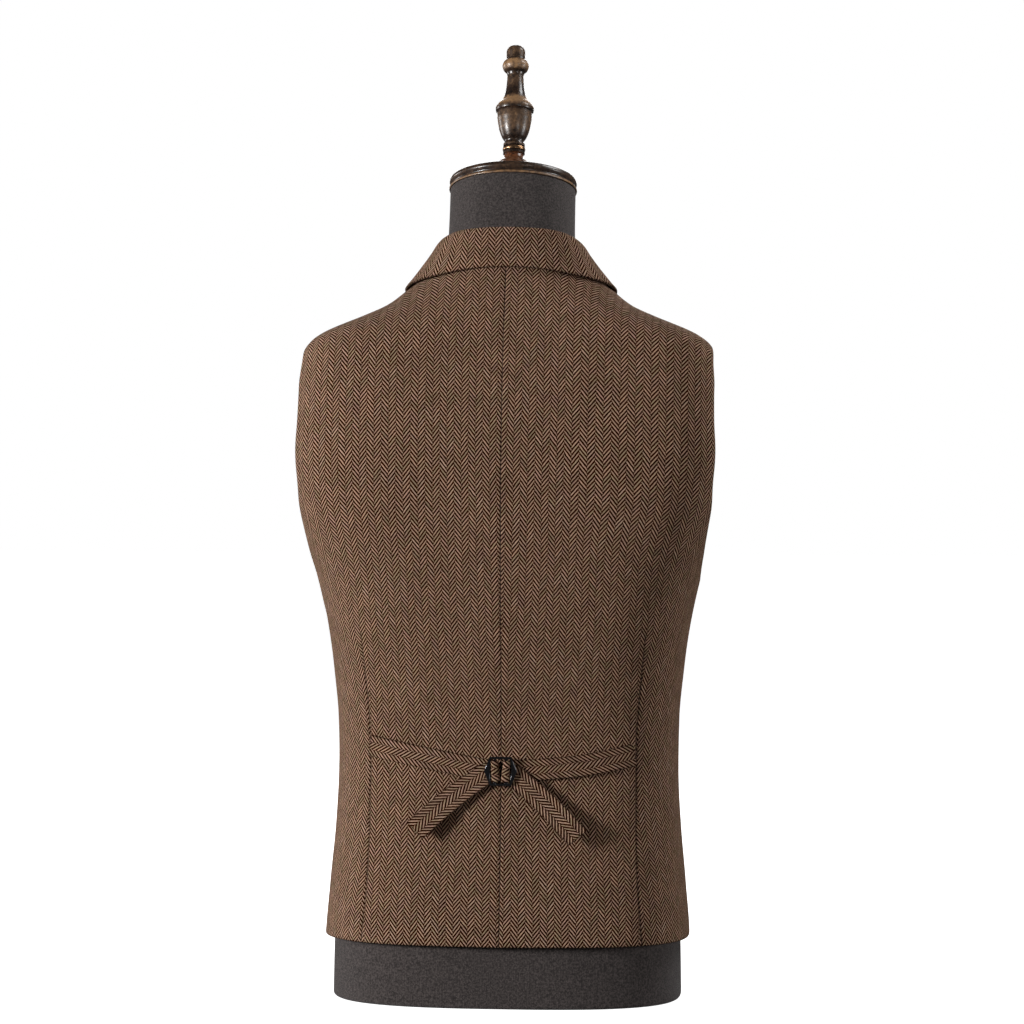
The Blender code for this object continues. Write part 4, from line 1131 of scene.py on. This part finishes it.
def add_buckle():
    """The frame as a plate with rounded edges."""
    outline = bpy.data.curves.new("buckle_outline", "CURVE")
    outline.dimensions = "2D"
    outline.fill_mode = "BOTH"
    outline.extrude = BUCKLE_THICK / 2 - BUCKLE_EDGE
    outline.bevel_depth = BUCKLE_EDGE
    outline.bevel_resolution = BUCKLE_EDGE_STEPS
    outline.offset = -BUCKLE_EDGE
    for points in buckle_outlines():
        spline = outline.splines.new("POLY")
        spline.points.add(len(points) - 1)
        for point, (x, y) in zip(spline.points, points):
            point.co = (x, y, 0, 1)
        spline.use_cyclic_u = True
    drawn = linked("buckle_outline", outline)
    drawn.rotation_euler = (math.radians(90), 0, 0)
    x, height = BUCKLE_AT
    place = ring_point(height, x)
    drawn.location = place + (0, BUCKLE_LIFT + relief(place), 0)
    mesh = faced_out(settled_mesh(drawn), WELD)
    add_piece("buckle", mesh, "black_metal", ("buckle",))


def lathe(profile, sides, place):
    """Vertices and faces of a profile turned round the Z axis of a placing matrix."""
    radius, height = np.array(profile).T[..., None]
    rings = round_axis(radius, height, turns(sides))
    count = len(profile) - 2
    vertices = np.concatenate([rings[1:-1].reshape(-1, 3), rings[[0, -1], 0]])
    faces = ring_faces(count, sides)
    for pole, row in ((count * sides, 0), (count * sides + 1, count - 1)):
        faces += [(pole, row * sides + i, row * sides + (i + 1) % sides) for i in range(sides)]
    return placed(vertices, place), faces


def smooth_profile(profile):
    """A turned profile in metres, with round curves between its points."""
    points = np.array(profile, float) * MM
    length = walked(points)
    at = [length[0]]
    for low, high in zip(length[:-1], length[1:]):
        count = max(1, round((high - low) / PROFILE_STEP))
        at += list(np.linspace(low, high, count + 1)[1:])
    radius, height = (through(length, values, at) for values in points.T)
    return list(zip(radius, height))


def add_turned(name, profile, gold_and_highlight, sides, place):
    """A turned wooden piece, with its tan gold places (scuffs, and painted highlights on the
    finial) and its red stain as attributes.
    """
    smooth = smooth_profile(profile)
    mesh = closed_mesh(name, *lathe(smooth, sides, place))
    add_piece(name, mesh, "dark_wood", (name,))
    heights = np.array([height for _, height in smooth[1:-1]]) / MM
    keys, *tables = np.array(gold_and_highlight, float).T
    for label, table in zip(("gold_and_highlight", "red"), tables):
        values = [*np.repeat(np.interp(heights, keys, table), sides), 0.0, 0.0]
        made = mesh.attributes.new(label, "FLOAT", "POINT")
        made.data.foreach_set("value", np.array(values, np.float32))


def neck_top():
    """Matrix of the top of the neck, tilted as the neck is."""
    height, centre = NECK[-1][:2]
    place = Matrix.Translation((0, centre * MM + DEPTH_SHIFT, height * MM))
    return place @ Matrix.Rotation(NECK_TOP_TILT, 4, "X")


def add_cap_and_finial():
    on_neck = neck_top() @ Matrix.Translation((0, 0, SEAM_GAP))
    add_turned("neck_cap", CAP_PROFILE, CAP_WEAR, CAP_SIDES, on_neck)
    on_cap = on_neck @ Matrix.Translation((0, 0, CAP_PROFILE[0][1] * MM + SEAM_GAP))
    add_turned("finial", FINIAL_PROFILE, FINIAL_GOLD_AND_HIGHLIGHT, FINIAL_SIDES, on_cap)
    middle = (RING_BOTTOM + RING_TOP) / 2
    half = (RING_TOP - RING_BOTTOM) / 2 - SEAM_GAP
    round_by = (RING_RADIUS - RING_BORE) / 2
    across = turns(RING_SECTION)
    radius, height = RING_BORE + round_by * (1 + np.cos(across)), middle + half * np.sin(across)
    rings = placed(round_axis(radius, height, turns(FINIAL_SIDES)[:, None]), on_cap)
    faces = ring_faces(FINIAL_SIDES, RING_SECTION, closed=True)
    mesh = closed_mesh("finial_ring", rings.reshape(-1, 3), faces)
    add_piece("finial_ring", mesh, "antique_brass", ("finial_ring",))


def button_place(height):
    """Matrix that puts a button on the centre line of the front, facing out."""
    facing = Vector(outward(height, 180.0))
    spot = on_body(0.0, height, LAP_LIFT + SEAM_GAP, at_back=False)
    return Matrix.Translation(Vector(spot)) @ facing.to_track_quat("Z", "Y").to_matrix().to_4x4()


def drilled(mesh):
    """A button's mesh with the four thread holes cut through it."""
    levels = np.array([[BUTTON_DEEP], [-BUTTON_DEEP]])
    hole = round_axis(HOLE_RADIUS, levels, turns(HOLE_SIDES))
    holes = [tube(hole + (x * HOLE_AT, y * HOLE_AT, 0)) for x in (-1, 1) for y in (-1, 1)]
    tool = linked("holes", closed_mesh("holes", *joined(holes)))
    blank = linked("button_blank", mesh)
    cut = blank.modifiers.new("holes", "BOOLEAN")
    cut.object, cut.operation = tool, "DIFFERENCE"
    result = settled_mesh(blank)
    bpy.data.objects.remove(tool)
    return result


def add_buttons():
    """Four-hole buttons with their thread, and a worked buttonhole under each."""
    profile = smooth_profile(BUTTON_PROFILE)
    mesh = drilled(closed_mesh("button", *lathe(profile, BUTTON_SIDES, Matrix())))
    for number, height in enumerate(BUTTON_HEIGHTS, 1):
        name, place, own = f"button_{number}", button_place(height), mesh.copy()
        own.transform(place)
        add_piece(name, own, "horn", (name,))
        threads = []
        for x in (-HOLE_AT, HOLE_AT):
            for aside in (-THREAD, THREAD):
                ends = (Vector((x + aside, y, THREAD_TOP)) for y in (-HOLE_AT, HOLE_AT))
                threads.append((*(place @ end for end in ends), THREAD))
        add_threads(f"{name}_thread", threads)
        add_threads(f"buttonhole_{number}", buttonhole(height))


def buttonhole(height):
    """Stitches round a buttonhole of the left front, each across its slit."""
    low, high = BUTTONHOLE
    stitches = []
    for x in np.arange(low, high, BUTTONHOLE_STEP):
        for side in (-1, 1):
            stitches.append(((x, side * BUTTONHOLE_SLIT), (x, side * BUTTONHOLE_HALF)))
    for turn_by in np.radians(BUTTONHOLE_TURNS):
        for x, way in ((high, 1), (low, -1)):
            reach = np.array([way * math.cos(turn_by), math.sin(turn_by)])
            stitches.append([(x, 0) + reach * far for far in (BUTTONHOLE_NEAR, BUTTONHOLE_HALF)])
    lifted = LAP_LIFT + THREAD / 2
    return [
        (*(on_body(x, height + up, lifted, at_back=False) for x, up in ends), THREAD)
        for ends in stitches
    ]


def stitch(start, end, radius):
    """Vertices and faces of one stitch, thinner at its ends."""
    start, end = Vector(start), Vector(end)
    way = (end - start).normalized()
    side = way.orthogonal().normalized()
    share, swell = np.array(THREAD_SHAPE).T[..., None, None]
    turn_by = turns(THREAD_SIDES)[:, None]
    reach = np.array(side) * np.cos(turn_by) + np.array(way.cross(side)) * np.sin(turn_by)
    return tube(np.array(start) + np.array(end - start) * share + reach * radius * swell)


def add_threads(name, threads):
    """Short stitches as one piece: each a start, an end and a radius."""
    mesh = closed_mesh(name, *joined(stitch(*thread) for thread in threads))
    add_piece(name, mesh, "tweed", surface=thread_surface())


def seam_stitches(x_of_height, low, high, depth):
    """Small stitches that show in a seam of the back, from one height up to another."""
    threads = []
    for start in np.arange(low, high, STITCH_PITCH):
        heights = start, start + STITCH_LENGTH
        ends = (on_body(x_of_height(height), height, -depth, at_back=True) for height in heights)
        threads.append((*ends, SEAM_THREAD))
    return threads


def add_seam_stitches():
    """Thread in the centre back seam and in both darts."""
    low, dart_high = HEM + STITCHES_FROM, DART_TOP - DART_FADE / 3
    centre = seam_stitches(lambda height: 0.0, low, SEAM_STITCH_TOP, SEAM_SINK)
    add_threads("stitches_centre_back", centre)
    for half, _, side in LEFT_AND_RIGHT:
        def dart_x(height, side=side):
            return side * by_height(DART_LINE, height)
        dart = seam_stitches(dart_x, low, dart_high, DART_DEPTH * DART_STITCH_DEPTH)
        add_threads(f"stitches_dart_{half}", dart)


# ---- dress form ----


def form_rings():
    """Rings of the form's body, from its base to where the neck begins."""
    angles = np.arange(FORM_SIDES) * 360 / FORM_SIDES
    rounding = [
        (BASE_ROUND * (1 - math.sin(t)), BASE_ROUND * (1 - math.cos(t)))
        for t in np.linspace(0, math.pi / 2, BASE_STEPS)
    ]
    lows, steps = np.array(FORM_STEPS).T * MM
    levels = [(height, inset) for inset, height in rounding]
    for low, high, step in zip(lows, lows[1:], steps):
        body = np.linspace(low, high, round((high - low) / step), endpoint=False)
        levels += [(height, 0.0) for height in body]
    levels.append((lows[-1], 0.0))
    rings = []
    for height, inset in levels:
        points = ring_point(height + FORM_DROP, angles, FORM_INSET + inset)
        points[:, 2] = height
        reach = np.abs(points[:, 0])
        softness = ARM_PLATE_SOFTNESS
        limited = -softness * np.logaddexp(-reach / softness, -ARM_PLATE / softness)
        points[:, 0] = np.sign(points[:, 0]) * np.minimum(reach, np.maximum(limited, 0))
        rings.append(points)
    return rings


def neck_rings():
    """Rings of the neck, leaning forward and tilting with it."""
    turn_by = turns(FORM_SIDES)
    table = np.array(NECK, float)
    heights = np.linspace(table[0, 0], table[-1, 0], NECK_RINGS)
    rings = []
    for height in heights:
        centre, half_width, half_depth, tilt = (
            float(through(table[:, 0], values, height)) for values in table.T[1:]
        )
        lean = math.radians(tilt)
        x = half_width * np.sin(turn_by)
        along = half_depth * np.cos(turn_by)
        y = centre + DEPTH_SHIFT / MM + along * math.cos(lean)
        rings.append(np.stack([x, y, height + along * math.sin(lean)], -1) * MM)
    return rings


def add_form():
    """The form's body under its jersey, whose flat pattern runs round and up it."""
    rings = np.array(form_rings() + neck_rings())
    count, sides = rings.shape[:2]
    mesh = closed_mesh("form_torso", *tube(rings))
    corners = np.empty(len(mesh.loops), np.int32)
    mesh.loops.foreach_get("vertex_index", corners)
    row, column = corners // sides, (corners % sides).astype(float)
    quads = column[: 4 * (count - 1) * sides].reshape(-1, 4)
    past_start = (np.ptp(quads, axis=1, keepdims=True) > sides / 2) & (quads < sides / 2)
    quads += np.where(past_start, sides, 0)
    flat = np.stack([column / sides * FORM_GIRTH, walked(rings).mean(axis=1)[row]], -1)
    layer = mesh.uv_layers.new(name=PATTERN_MAP)
    layer.data.foreach_set("uv", flat.reshape(-1).astype(np.float32))
    add_piece("form_torso", mesh, "jersey", ("form_torso",))


# ---- materials ----


class Surface:
    """A material and short calls for the nodes of its tree."""

    def __init__(self, name, roughness, metallic=0.0):
        self.material = bpy.data.materials.new(name)
        self.material.use_nodes = True
        self.tree = self.material.node_tree
        self.shader = self.tree.nodes["Principled BSDF"]
        self.shader.inputs["Roughness"].default_value = roughness
        self.shader.inputs["Metallic"].default_value = metallic

    def node(self, kind, **settings):
        made = self.tree.nodes.new(kind)
        for name, value in settings.items():
            setattr(made, name, value)
        return made

    def feed(self, socket, value):
        if isinstance(value, bpy.types.NodeSocket):
            self.tree.links.new(value, socket)
        else:
            socket.default_value = value

    def math(self, operation, *values, clamp=False):
        made = self.node("ShaderNodeMath", operation=operation, use_clamp=clamp)
        for socket, value in zip(made.inputs, values):
            self.feed(socket, value)
        return made.outputs[0]

    def add(self, a, b):
        return self.math("ADD", a, b)

    def times(self, a, b):
        return self.math("MULTIPLY", a, b)

    def soft_step(self, value, low, high):
        """0 below low, 1 above high and smooth between."""
        made = self.node("ShaderNodeMapRange", interpolation_type="SMOOTHSTEP")
        for name, given in (("Value", value), ("From Min", low), ("From Max", high)):
            self.feed(made.inputs[name], given)
        return made.outputs[0]

    def between(self, share, low, high):
        """The number that far from low to high."""
        return self.math("MULTIPLY_ADD", share, high - low, low)

    def mix(self, share, first, second):
        """Blend of two colours, each a socket or three display values."""
        made = self.node("ShaderNodeMix", data_type="RGBA")
        self.feed(made.inputs[0], share)
        for socket, colour in ((made.inputs[6], first), (made.inputs[7], second)):
            self.feed(socket, (*srgb(*colour), 1.0) if isinstance(colour, tuple) else colour)
        return made.outputs[2]

    def shaded(self, colour, amount):
        """A colour multiplied by a number."""
        made = self.node("ShaderNodeVectorMath", operation="SCALE")
        self.feed(made.inputs[0], colour)
        self.feed(made.inputs["Scale"], amount)
        return made.outputs[0]

    def vector(self, x, y, z=0.0):
        made = self.node("ShaderNodeCombineXYZ")
        for socket, value in zip(made.inputs, (x, y, z)):
            self.feed(socket, value)
        return made.outputs[0]

    def noise(self, place, size, detail=2.0, roughness=0.5):
        """Noise from 0 to 1 with features of that size, in the place's own unit."""
        made = self.node("ShaderNodeTexNoise")
        self.feed(made.inputs["Vector"], place)
        made.inputs["Scale"].default_value = 1 / size
        made.inputs["Detail"].default_value = detail
        made.inputs["Roughness"].default_value = roughness
        return made.outputs["Fac"]

    def chances(self, first, second):
        """Three numbers from 0 to 1 that belong to a cell given by two whole numbers."""
        made = self.node("ShaderNodeTexWhiteNoise")
        self.feed(made.inputs["Vector"], self.vector(first, second))
        split = self.node("ShaderNodeSeparateColor")
        self.feed(split.inputs[0], made.outputs["Color"])
        return split.outputs[0], split.outputs[1], split.outputs[2]

    def attribute(self, name):
        """A number that the mesh holds at each of its points."""
        return self.node("ShaderNodeAttribute", attribute_name=name).outputs["Fac"]

    def pattern_place(self):
        """Place in the flat pattern, in millimetres."""
        source = self.node("ShaderNodeUVMap", uv_map=PATTERN_MAP)
        split = self.node("ShaderNodeSeparateXYZ")
        self.feed(split.inputs[0], source.outputs[0])
        return self.times(split.outputs[0], 1 / MM), self.times(split.outputs[1], 1 / MM)

    def object_place(self):
        """Place on the object, in millimetres."""
        source = self.node("ShaderNodeTexCoord")
        made = self.node("ShaderNodeVectorMath", operation="SCALE")
        self.feed(made.inputs[0], source.outputs["Object"])
        made.inputs["Scale"].default_value = 1 / MM
        return made.outputs[0]

    def bump(self, height, depth, strength=1.0):
        """Relief of that depth in metres where the height runs from 0 to 1."""
        made = self.node("ShaderNodeBump")
        made.inputs["Strength"].default_value = strength
        made.inputs["Distance"].default_value = depth
        self.feed(made.inputs["Height"], height)
        self.tree.links.new(made.outputs[0], self.shader.inputs["Normal"])

    def colour(self, value):
        self.feed(self.shader.inputs["Base Color"], value)

    def rough(self, value):
        self.feed(self.shader.inputs["Roughness"], value)

    def set(self, **values):
        """Set sockets of the shader, named with _ for each space."""
        for name, value in values.items():
            self.shader.inputs[name.replace("_", " ")].default_value = value


def tweed_surface():
    """Wool herringbone: eight warps to a column, two picks under and two over."""
    s = Surface("tweed", 0.9)
    s.set(Sheen_Weight=0.03, Sheen_Roughness=0.35, Sheen_Tint=(*srgb(*TWEED_FLUFF), 1.0))
    s.set(Specular_IOR_Level=0.03)
    u, v = s.pattern_place()
    place = s.vector(u, v)
    sway_u, sway_v, jitter = (
        s.between(s.noise(at, size, detail=1.0), -reach, reach)
        for at, (reach, size) in zip((place, s.vector(v, u, 40.0), place), WEAVE_SWAYS)
    )
    u, v = s.add(u, sway_u), s.add(s.add(v, sway_v), jitter)

    # Which column, warp and pick of the weave a place is on
    column = s.math("DIVIDE", u, WEAVE_COLUMN)
    parity = s.math("FLOORED_MODULO", s.math("FLOOR", column), 2.0)
    warps = s.times(
        s.math("ABSOLUTE", s.math("SUBTRACT", s.math("FRACT", column), parity)), WEAVE_WARPS
    )
    picks = s.math("DIVIDE", v, WEAVE_PICK)
    stagger = s.times(parity, WEAVE_STAGGER)
    circle = 2 * math.pi / WEAVE_REPEAT

    # How high the warp and the weft stand there, 0 for a yarn that runs below
    warp = s.add(s.math("FLOOR", warps), stagger)
    warp_turn = s.math("SINE", s.times(s.add(picks, warp), circle))
    warp_round = s.math("SINE", s.times(s.math("FRACT", warps), math.pi))
    pick = s.add(s.math("FLOOR", picks), s.add(warps, stagger))
    weft_turn = s.math("SINE", s.times(pick, circle))
    weft_round = s.math("SINE", s.times(s.math("FRACT", picks), math.pi))
    warp_height = s.times(s.math("MAXIMUM", warp_turn, 0.0), s.math("SQRT", warp_round))
    weft_height = s.times(
        s.math("MAXIMUM", s.times(weft_turn, -1.0), 0.0), s.math("SQRT", weft_round)
    )

    # The slanting strokes, light and dark, that the floats of both yarns make together
    stroke_turns = s.add(picks, s.add(warps, stagger))
    stroke_wave = s.math("SINE", s.times(stroke_turns, circle))
    to_side = s.math("ABSOLUTE", s.math("SUBTRACT", s.times(s.math("FRACT", column), 2.0), 1.0))
    taper = s.times(s.math("POWER", to_side, 4.0), WEAVE_TAPER)
    steps = s.times(s.math("SUBTRACT", warp_height, weft_height), WEAVE_STEPS)
    light = s.math("SUBTRACT", s.add(steps, stroke_wave), taper)

    # Colours of the mixed wool, with its own chances for each stroke
    stroke = s.math("FLOOR", s.math("DIVIDE", stroke_turns, WEAVE_REPEAT))
    tone_chance, bright_chance, fleck_chance = s.chances(s.math("FLOOR", column), stroke)
    fibre = s.noise(s.vector(s.times(u, 1.6), v, 7.0), 1.15, detail=2.0, roughness=0.6)
    bright = s.times(s.between(fibre, *TWEED_FIBRE), s.between(bright_chance, *TWEED_STROKE))
    patch = s.noise(s.vector(u, v, 21.0), 7.0, detail=2.0, roughness=0.6)
    patch = s.add(patch, s.between(tone_chance, -0.2, 0.2))
    other_patch = s.noise(s.vector(u, v, 63.0), 9.0, detail=2.0, roughness=0.6)
    other_patch = s.add(other_patch, s.between(fleck_chance, -0.15, 0.15))
    warm = s.mix(s.soft_step(patch, 0.3, 0.55), TWEED_OLIVE, TWEED_TAN)
    warm = s.mix(s.soft_step(other_patch, 0.5, 0.7), warm, TWEED_PINK)
    warm = s.mix(s.soft_step(fleck_chance, 0.9, 0.96), warm, TWEED_PALE)
    dark = s.mix(s.soft_step(other_patch, 0.4, 0.6), TWEED_BROWN, TWEED_BLACK)
    dark = s.mix(s.soft_step(fibre, 0.3, 0.42), TWEED_RUST, dark)
    # Painted shade: the colour darkens along the edges, seams and dart
    bright = s.times(bright, s.between(s.attribute("edge"), 1.0, EDGE_DARK))
    yarn = s.mix(s.soft_step(light, *WEAVE_SHADE), dark, TWEED_MID)
    s.colour(s.shaded(s.mix(s.soft_step(light, *WEAVE_CHANGE), yarn, warm), bright))

    fuzz = s.noise(s.vector(u, v, 33.0), 0.55, detail=2.0, roughness=0.7)
    height = s.add(s.math("MAXIMUM", warp_height, weft_height), s.times(fuzz, TWEED_FUZZ))
    height = s.add(height, s.times(s.math("ABSOLUTE", stroke_wave), TWEED_FLOATS))
    s.bump(height, TWEED_RELIEF, 0.8)
    return s.material


def jersey_surface():
    """Fine heather knit: rows of small V stitches in flecked charcoal yarn."""
    s = Surface("jersey", 0.92)
    s.set(Sheen_Weight=0.22, Sheen_Roughness=0.5, Specular_IOR_Level=0.15)
    u, v = s.pattern_place()
    wale = s.math("FRACT", s.math("DIVIDE", u, KNIT_WALE))
    leg = s.math("ABSOLUTE", s.math("SUBTRACT", wale, 0.5))
    course = s.add(s.math("DIVIDE", v, KNIT_COURSE), s.times(leg, -1.6))
    loop = s.math("ABSOLUTE", s.math("SINE", s.times(course, math.pi)))
    groove = s.soft_step(leg, 0.5, 0.36)
    knit = s.times(loop, groove)
    place = s.object_place()
    fleck = s.noise(place, 1.7, detail=3.0, roughness=0.7)
    cloud = s.noise(place, 30.0, detail=2.0)
    base = s.mix(s.soft_step(fleck, 0.36, 0.66), JERSEY_DARK, JERSEY_LIGHT)
    # Painted shade: the knit is darker in the hollows between its loops and lighter on their tops;
    # the cloud is the yarn's own uneven tone
    shade = s.times(s.between(knit, 0.72, 1.12), s.between(cloud, 0.9, 1.1))
    s.colour(s.shaded(base, shade))
    s.bump(s.add(knit, s.times(fleck, 0.5)), KNIT_RELIEF, 0.7)
    return s.material


def wood_surface():
    """Dark stained wood with a satin varnish, scuffed to a tan gold where it is touched, and with
    painted highlights in tan gold on the finial.
    """
    s = Surface("dark wood", 0.4)
    s.set(Coat_Weight=0.25, Coat_Roughness=0.2, Specular_IOR_Level=0.5)
    place = s.object_place()
    grain = s.noise(place, 9.0, detail=4.0, roughness=0.6)
    mottle = s.noise(place, 3.2, detail=3.0, roughness=0.7)
    speck = s.noise(place, 1.1, detail=2.0, roughness=0.6)
    base = s.mix(s.soft_step(grain, 0.38, 0.62), WOOD_DARK, WOOD_BROWN)
    red = s.times(s.attribute("red"), s.soft_step(mottle, 0.3, 0.6))
    base = s.mix(red, base, WOOD_RED)
    # Tan gold from the piece's attribute: scuffed varnish, and painted highlights on the finial's
    # rounds and rings
    gold_amount = s.attribute("gold_and_highlight")
    half_gold = s.soft_step(s.add(gold_amount, s.between(mottle, -0.5, 0.5)), 0.0, 0.5)
    base = s.mix(half_gold, base, WOOD_TAN)
    full_gold = s.soft_step(s.add(gold_amount, s.between(mottle, -0.8, 0.8)), 0.35, 0.9)
    flecked = s.times(s.soft_step(speck, 0.62, 0.7), 0.3)
    share = s.math("MAXIMUM", full_gold, flecked)
    s.colour(s.mix(share, base, WOOD_GOLD))
    s.rough(s.between(s.add(gold_amount, s.times(mottle, 0.3)), 0.24, 0.48))
    s.bump(s.add(s.times(mottle, 0.6), s.times(speck, 0.4)), 0.1 * MM, 0.5)
    return s.material


def brass_surface():
    """Old brass with brown tarnish in its hollows."""
    s = Surface("antique brass", 0.3, 1.0)
    place = s.object_place()
    tarnish = s.noise(place, 2.0, detail=3.0, roughness=0.7)
    s.colour(s.mix(s.soft_step(tarnish, 0.4, 0.65), BRASS, BRASS_TARNISH))
    s.rough(s.between(tarnish, 0.18, 0.5))
    s.bump(tarnish, 0.05 * MM, 0.5)
    return s.material


def metal_surface():
    """Black plated steel with fine scuffs."""
    s = Surface("black metal", 0.15, 1.0)
    place = s.object_place()
    scuff = s.noise(place, 1.3, detail=4.0, roughness=0.75)
    s.colour(s.mix(s.soft_step(scuff, 0.58, 0.72), PLATING, PLATING_WORN))
    s.rough(s.between(scuff, 0.06, 0.22))
    s.bump(scuff, 0.04 * MM, 0.4)
    return s.material


def horn_surface():
    """Brown horn with lighter streaks."""
    s = Surface("horn", 0.35)
    s.set(Coat_Weight=0.3, Coat_Roughness=0.2)
    place = s.object_place()
    streak = s.noise(place, 4.5, detail=4.0, roughness=0.65)
    fine = s.noise(place, 0.9, detail=2.0)
    base = s.mix(s.soft_step(streak, 0.4, 0.66), HORN_DARK, HORN_LIGHT)
    s.colour(s.shaded(base, s.between(fine, 0.8, 1.15)))
    s.rough(s.between(streak, 0.28, 0.5))
    s.bump(fine, 0.06 * MM, 0.4)
    return s.material


@functools.cache
def thread_surface():
    """Sewing thread, light and dark by turns along a seam."""
    s = Surface("thread", 0.7)
    s.set(Sheen_Weight=0.2)
    place = s.object_place()
    turn_by = s.noise(place, 6.0, detail=2.0)
    twist = s.noise(place, 0.5, detail=1.0)
    base = s.mix(s.soft_step(turn_by, 0.46, 0.6), THREAD_DARK, THREAD_LIGHT)
    s.colour(s.shaded(base, s.between(twist, 0.7, 1.2)))
    s.bump(twist, 0.05 * MM, 0.6)
    return s.material


SURFACES = {
    "tweed": tweed_surface,
    "jersey": jersey_surface,
    "dark_wood": wood_surface,
    "antique_brass": brass_surface,
    "black_metal": metal_surface,
    "horn": horn_surface,
}


@functools.cache
def surface_of(slot_name):
    """The material of a slot, made once."""
    return SURFACES[slot_name]()


# ---- floor, light and camera ----


def add_floor():
    """A pale floor whose own glow keeps it white, and which casts none of that on the object."""
    floor = bpy.data.meshes.new("floor")
    reach = FLOOR_REACH
    corners = [(-reach, -reach, 0), (reach, -reach, 0), (reach, reach, 0), (-reach, reach, 0)]
    floor.from_pydata(corners, [], [(0, 1, 2, 3)])
    s = Surface("floor", 0.9)
    s.set(Specular_IOR_Level=0.0)
    cloud = s.noise(s.object_place(), FLOOR_CLOUD, detail=1.0)
    s.colour(s.mix(cloud, *FLOOR_GREYS))
    s.set(Emission_Color=(1, 1, 1, 1), Emission_Strength=FLOOR_GLOW)
    floor.materials.append(s.material)
    made = linked("floor", floor)
    made.location.z = -FLOOR_DROP
    made.visible_diffuse = made.visible_glossy = False


def add_light(name, azimuth, elevation, distance, size, power):
    """A soft light at an azimuth seen from the object, 0 at its left and 90 behind it."""
    light = bpy.data.lights.new(name, "AREA")
    light.shape = "RECTANGLE"
    light.size, light.size_y = size
    light.energy = power
    made = linked(name, light)
    turn_by, rise = math.radians(azimuth), math.radians(elevation)
    way = Vector((
        math.cos(turn_by) * math.cos(rise), math.sin(turn_by) * math.cos(rise), math.sin(rise)
    ))
    made.location = CAMERA_TARGET + way * distance
    made.rotation_euler = way.to_track_quat("Z", "Y").to_euler()


def add_world():
    """White behind the object, and a softer even light on it."""
    world = bpy.data.worlds.new("studio")
    bpy.context.scene.world = world
    world.use_nodes = True
    tree = world.node_tree
    background = tree.nodes["Background"]
    seen = tree.nodes.new("ShaderNodeLightPath").outputs["Is Camera Ray"]
    strength = tree.nodes.new("ShaderNodeMapRange")
    strength.inputs["To Min"].default_value = WORLD_LIGHT
    strength.inputs["To Max"].default_value = 1.0
    tree.links.new(seen, strength.inputs["Value"])
    tree.links.new(strength.outputs[0], background.inputs["Strength"])
    background.inputs["Color"].default_value = (1, 1, 1, 1)
    bpy.context.scene.view_settings.view_transform = "Standard"


def add_camera():
    """The camera at the photograph's viewing angle."""
    way = Vector((-math.sin(CAMERA_AZIMUTH), math.cos(CAMERA_AZIMUTH), 0))
    target = CAMERA_TARGET - Vector((CAMERA_SLIDE, 0, 0))
    data = bpy.data.cameras.new("camera")
    data.lens, data.sensor_width = CAMERA_LENS, SENSOR
    camera = linked("camera", data)
    aim = way.to_track_quat("-Z", "Y").to_matrix().to_4x4()
    roll = Matrix.Rotation(CAMERA_ROLL, 4, "Z")
    camera.matrix_world = Matrix.Translation(target - way * CAMERA_DISTANCE) @ aim @ roll
    bpy.context.scene.camera = camera


def main():
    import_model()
    add_camera()
    add_form()
    add_cap_and_finial()
    add_backs()
    add_fronts()
    add_lapels()
    add_collar()
    add_straps()
    add_buckle()
    add_buttons()
    add_seam_stitches()
    add_floor()
    add_world()
    for light in LIGHTS:
        add_light(*light)


main()
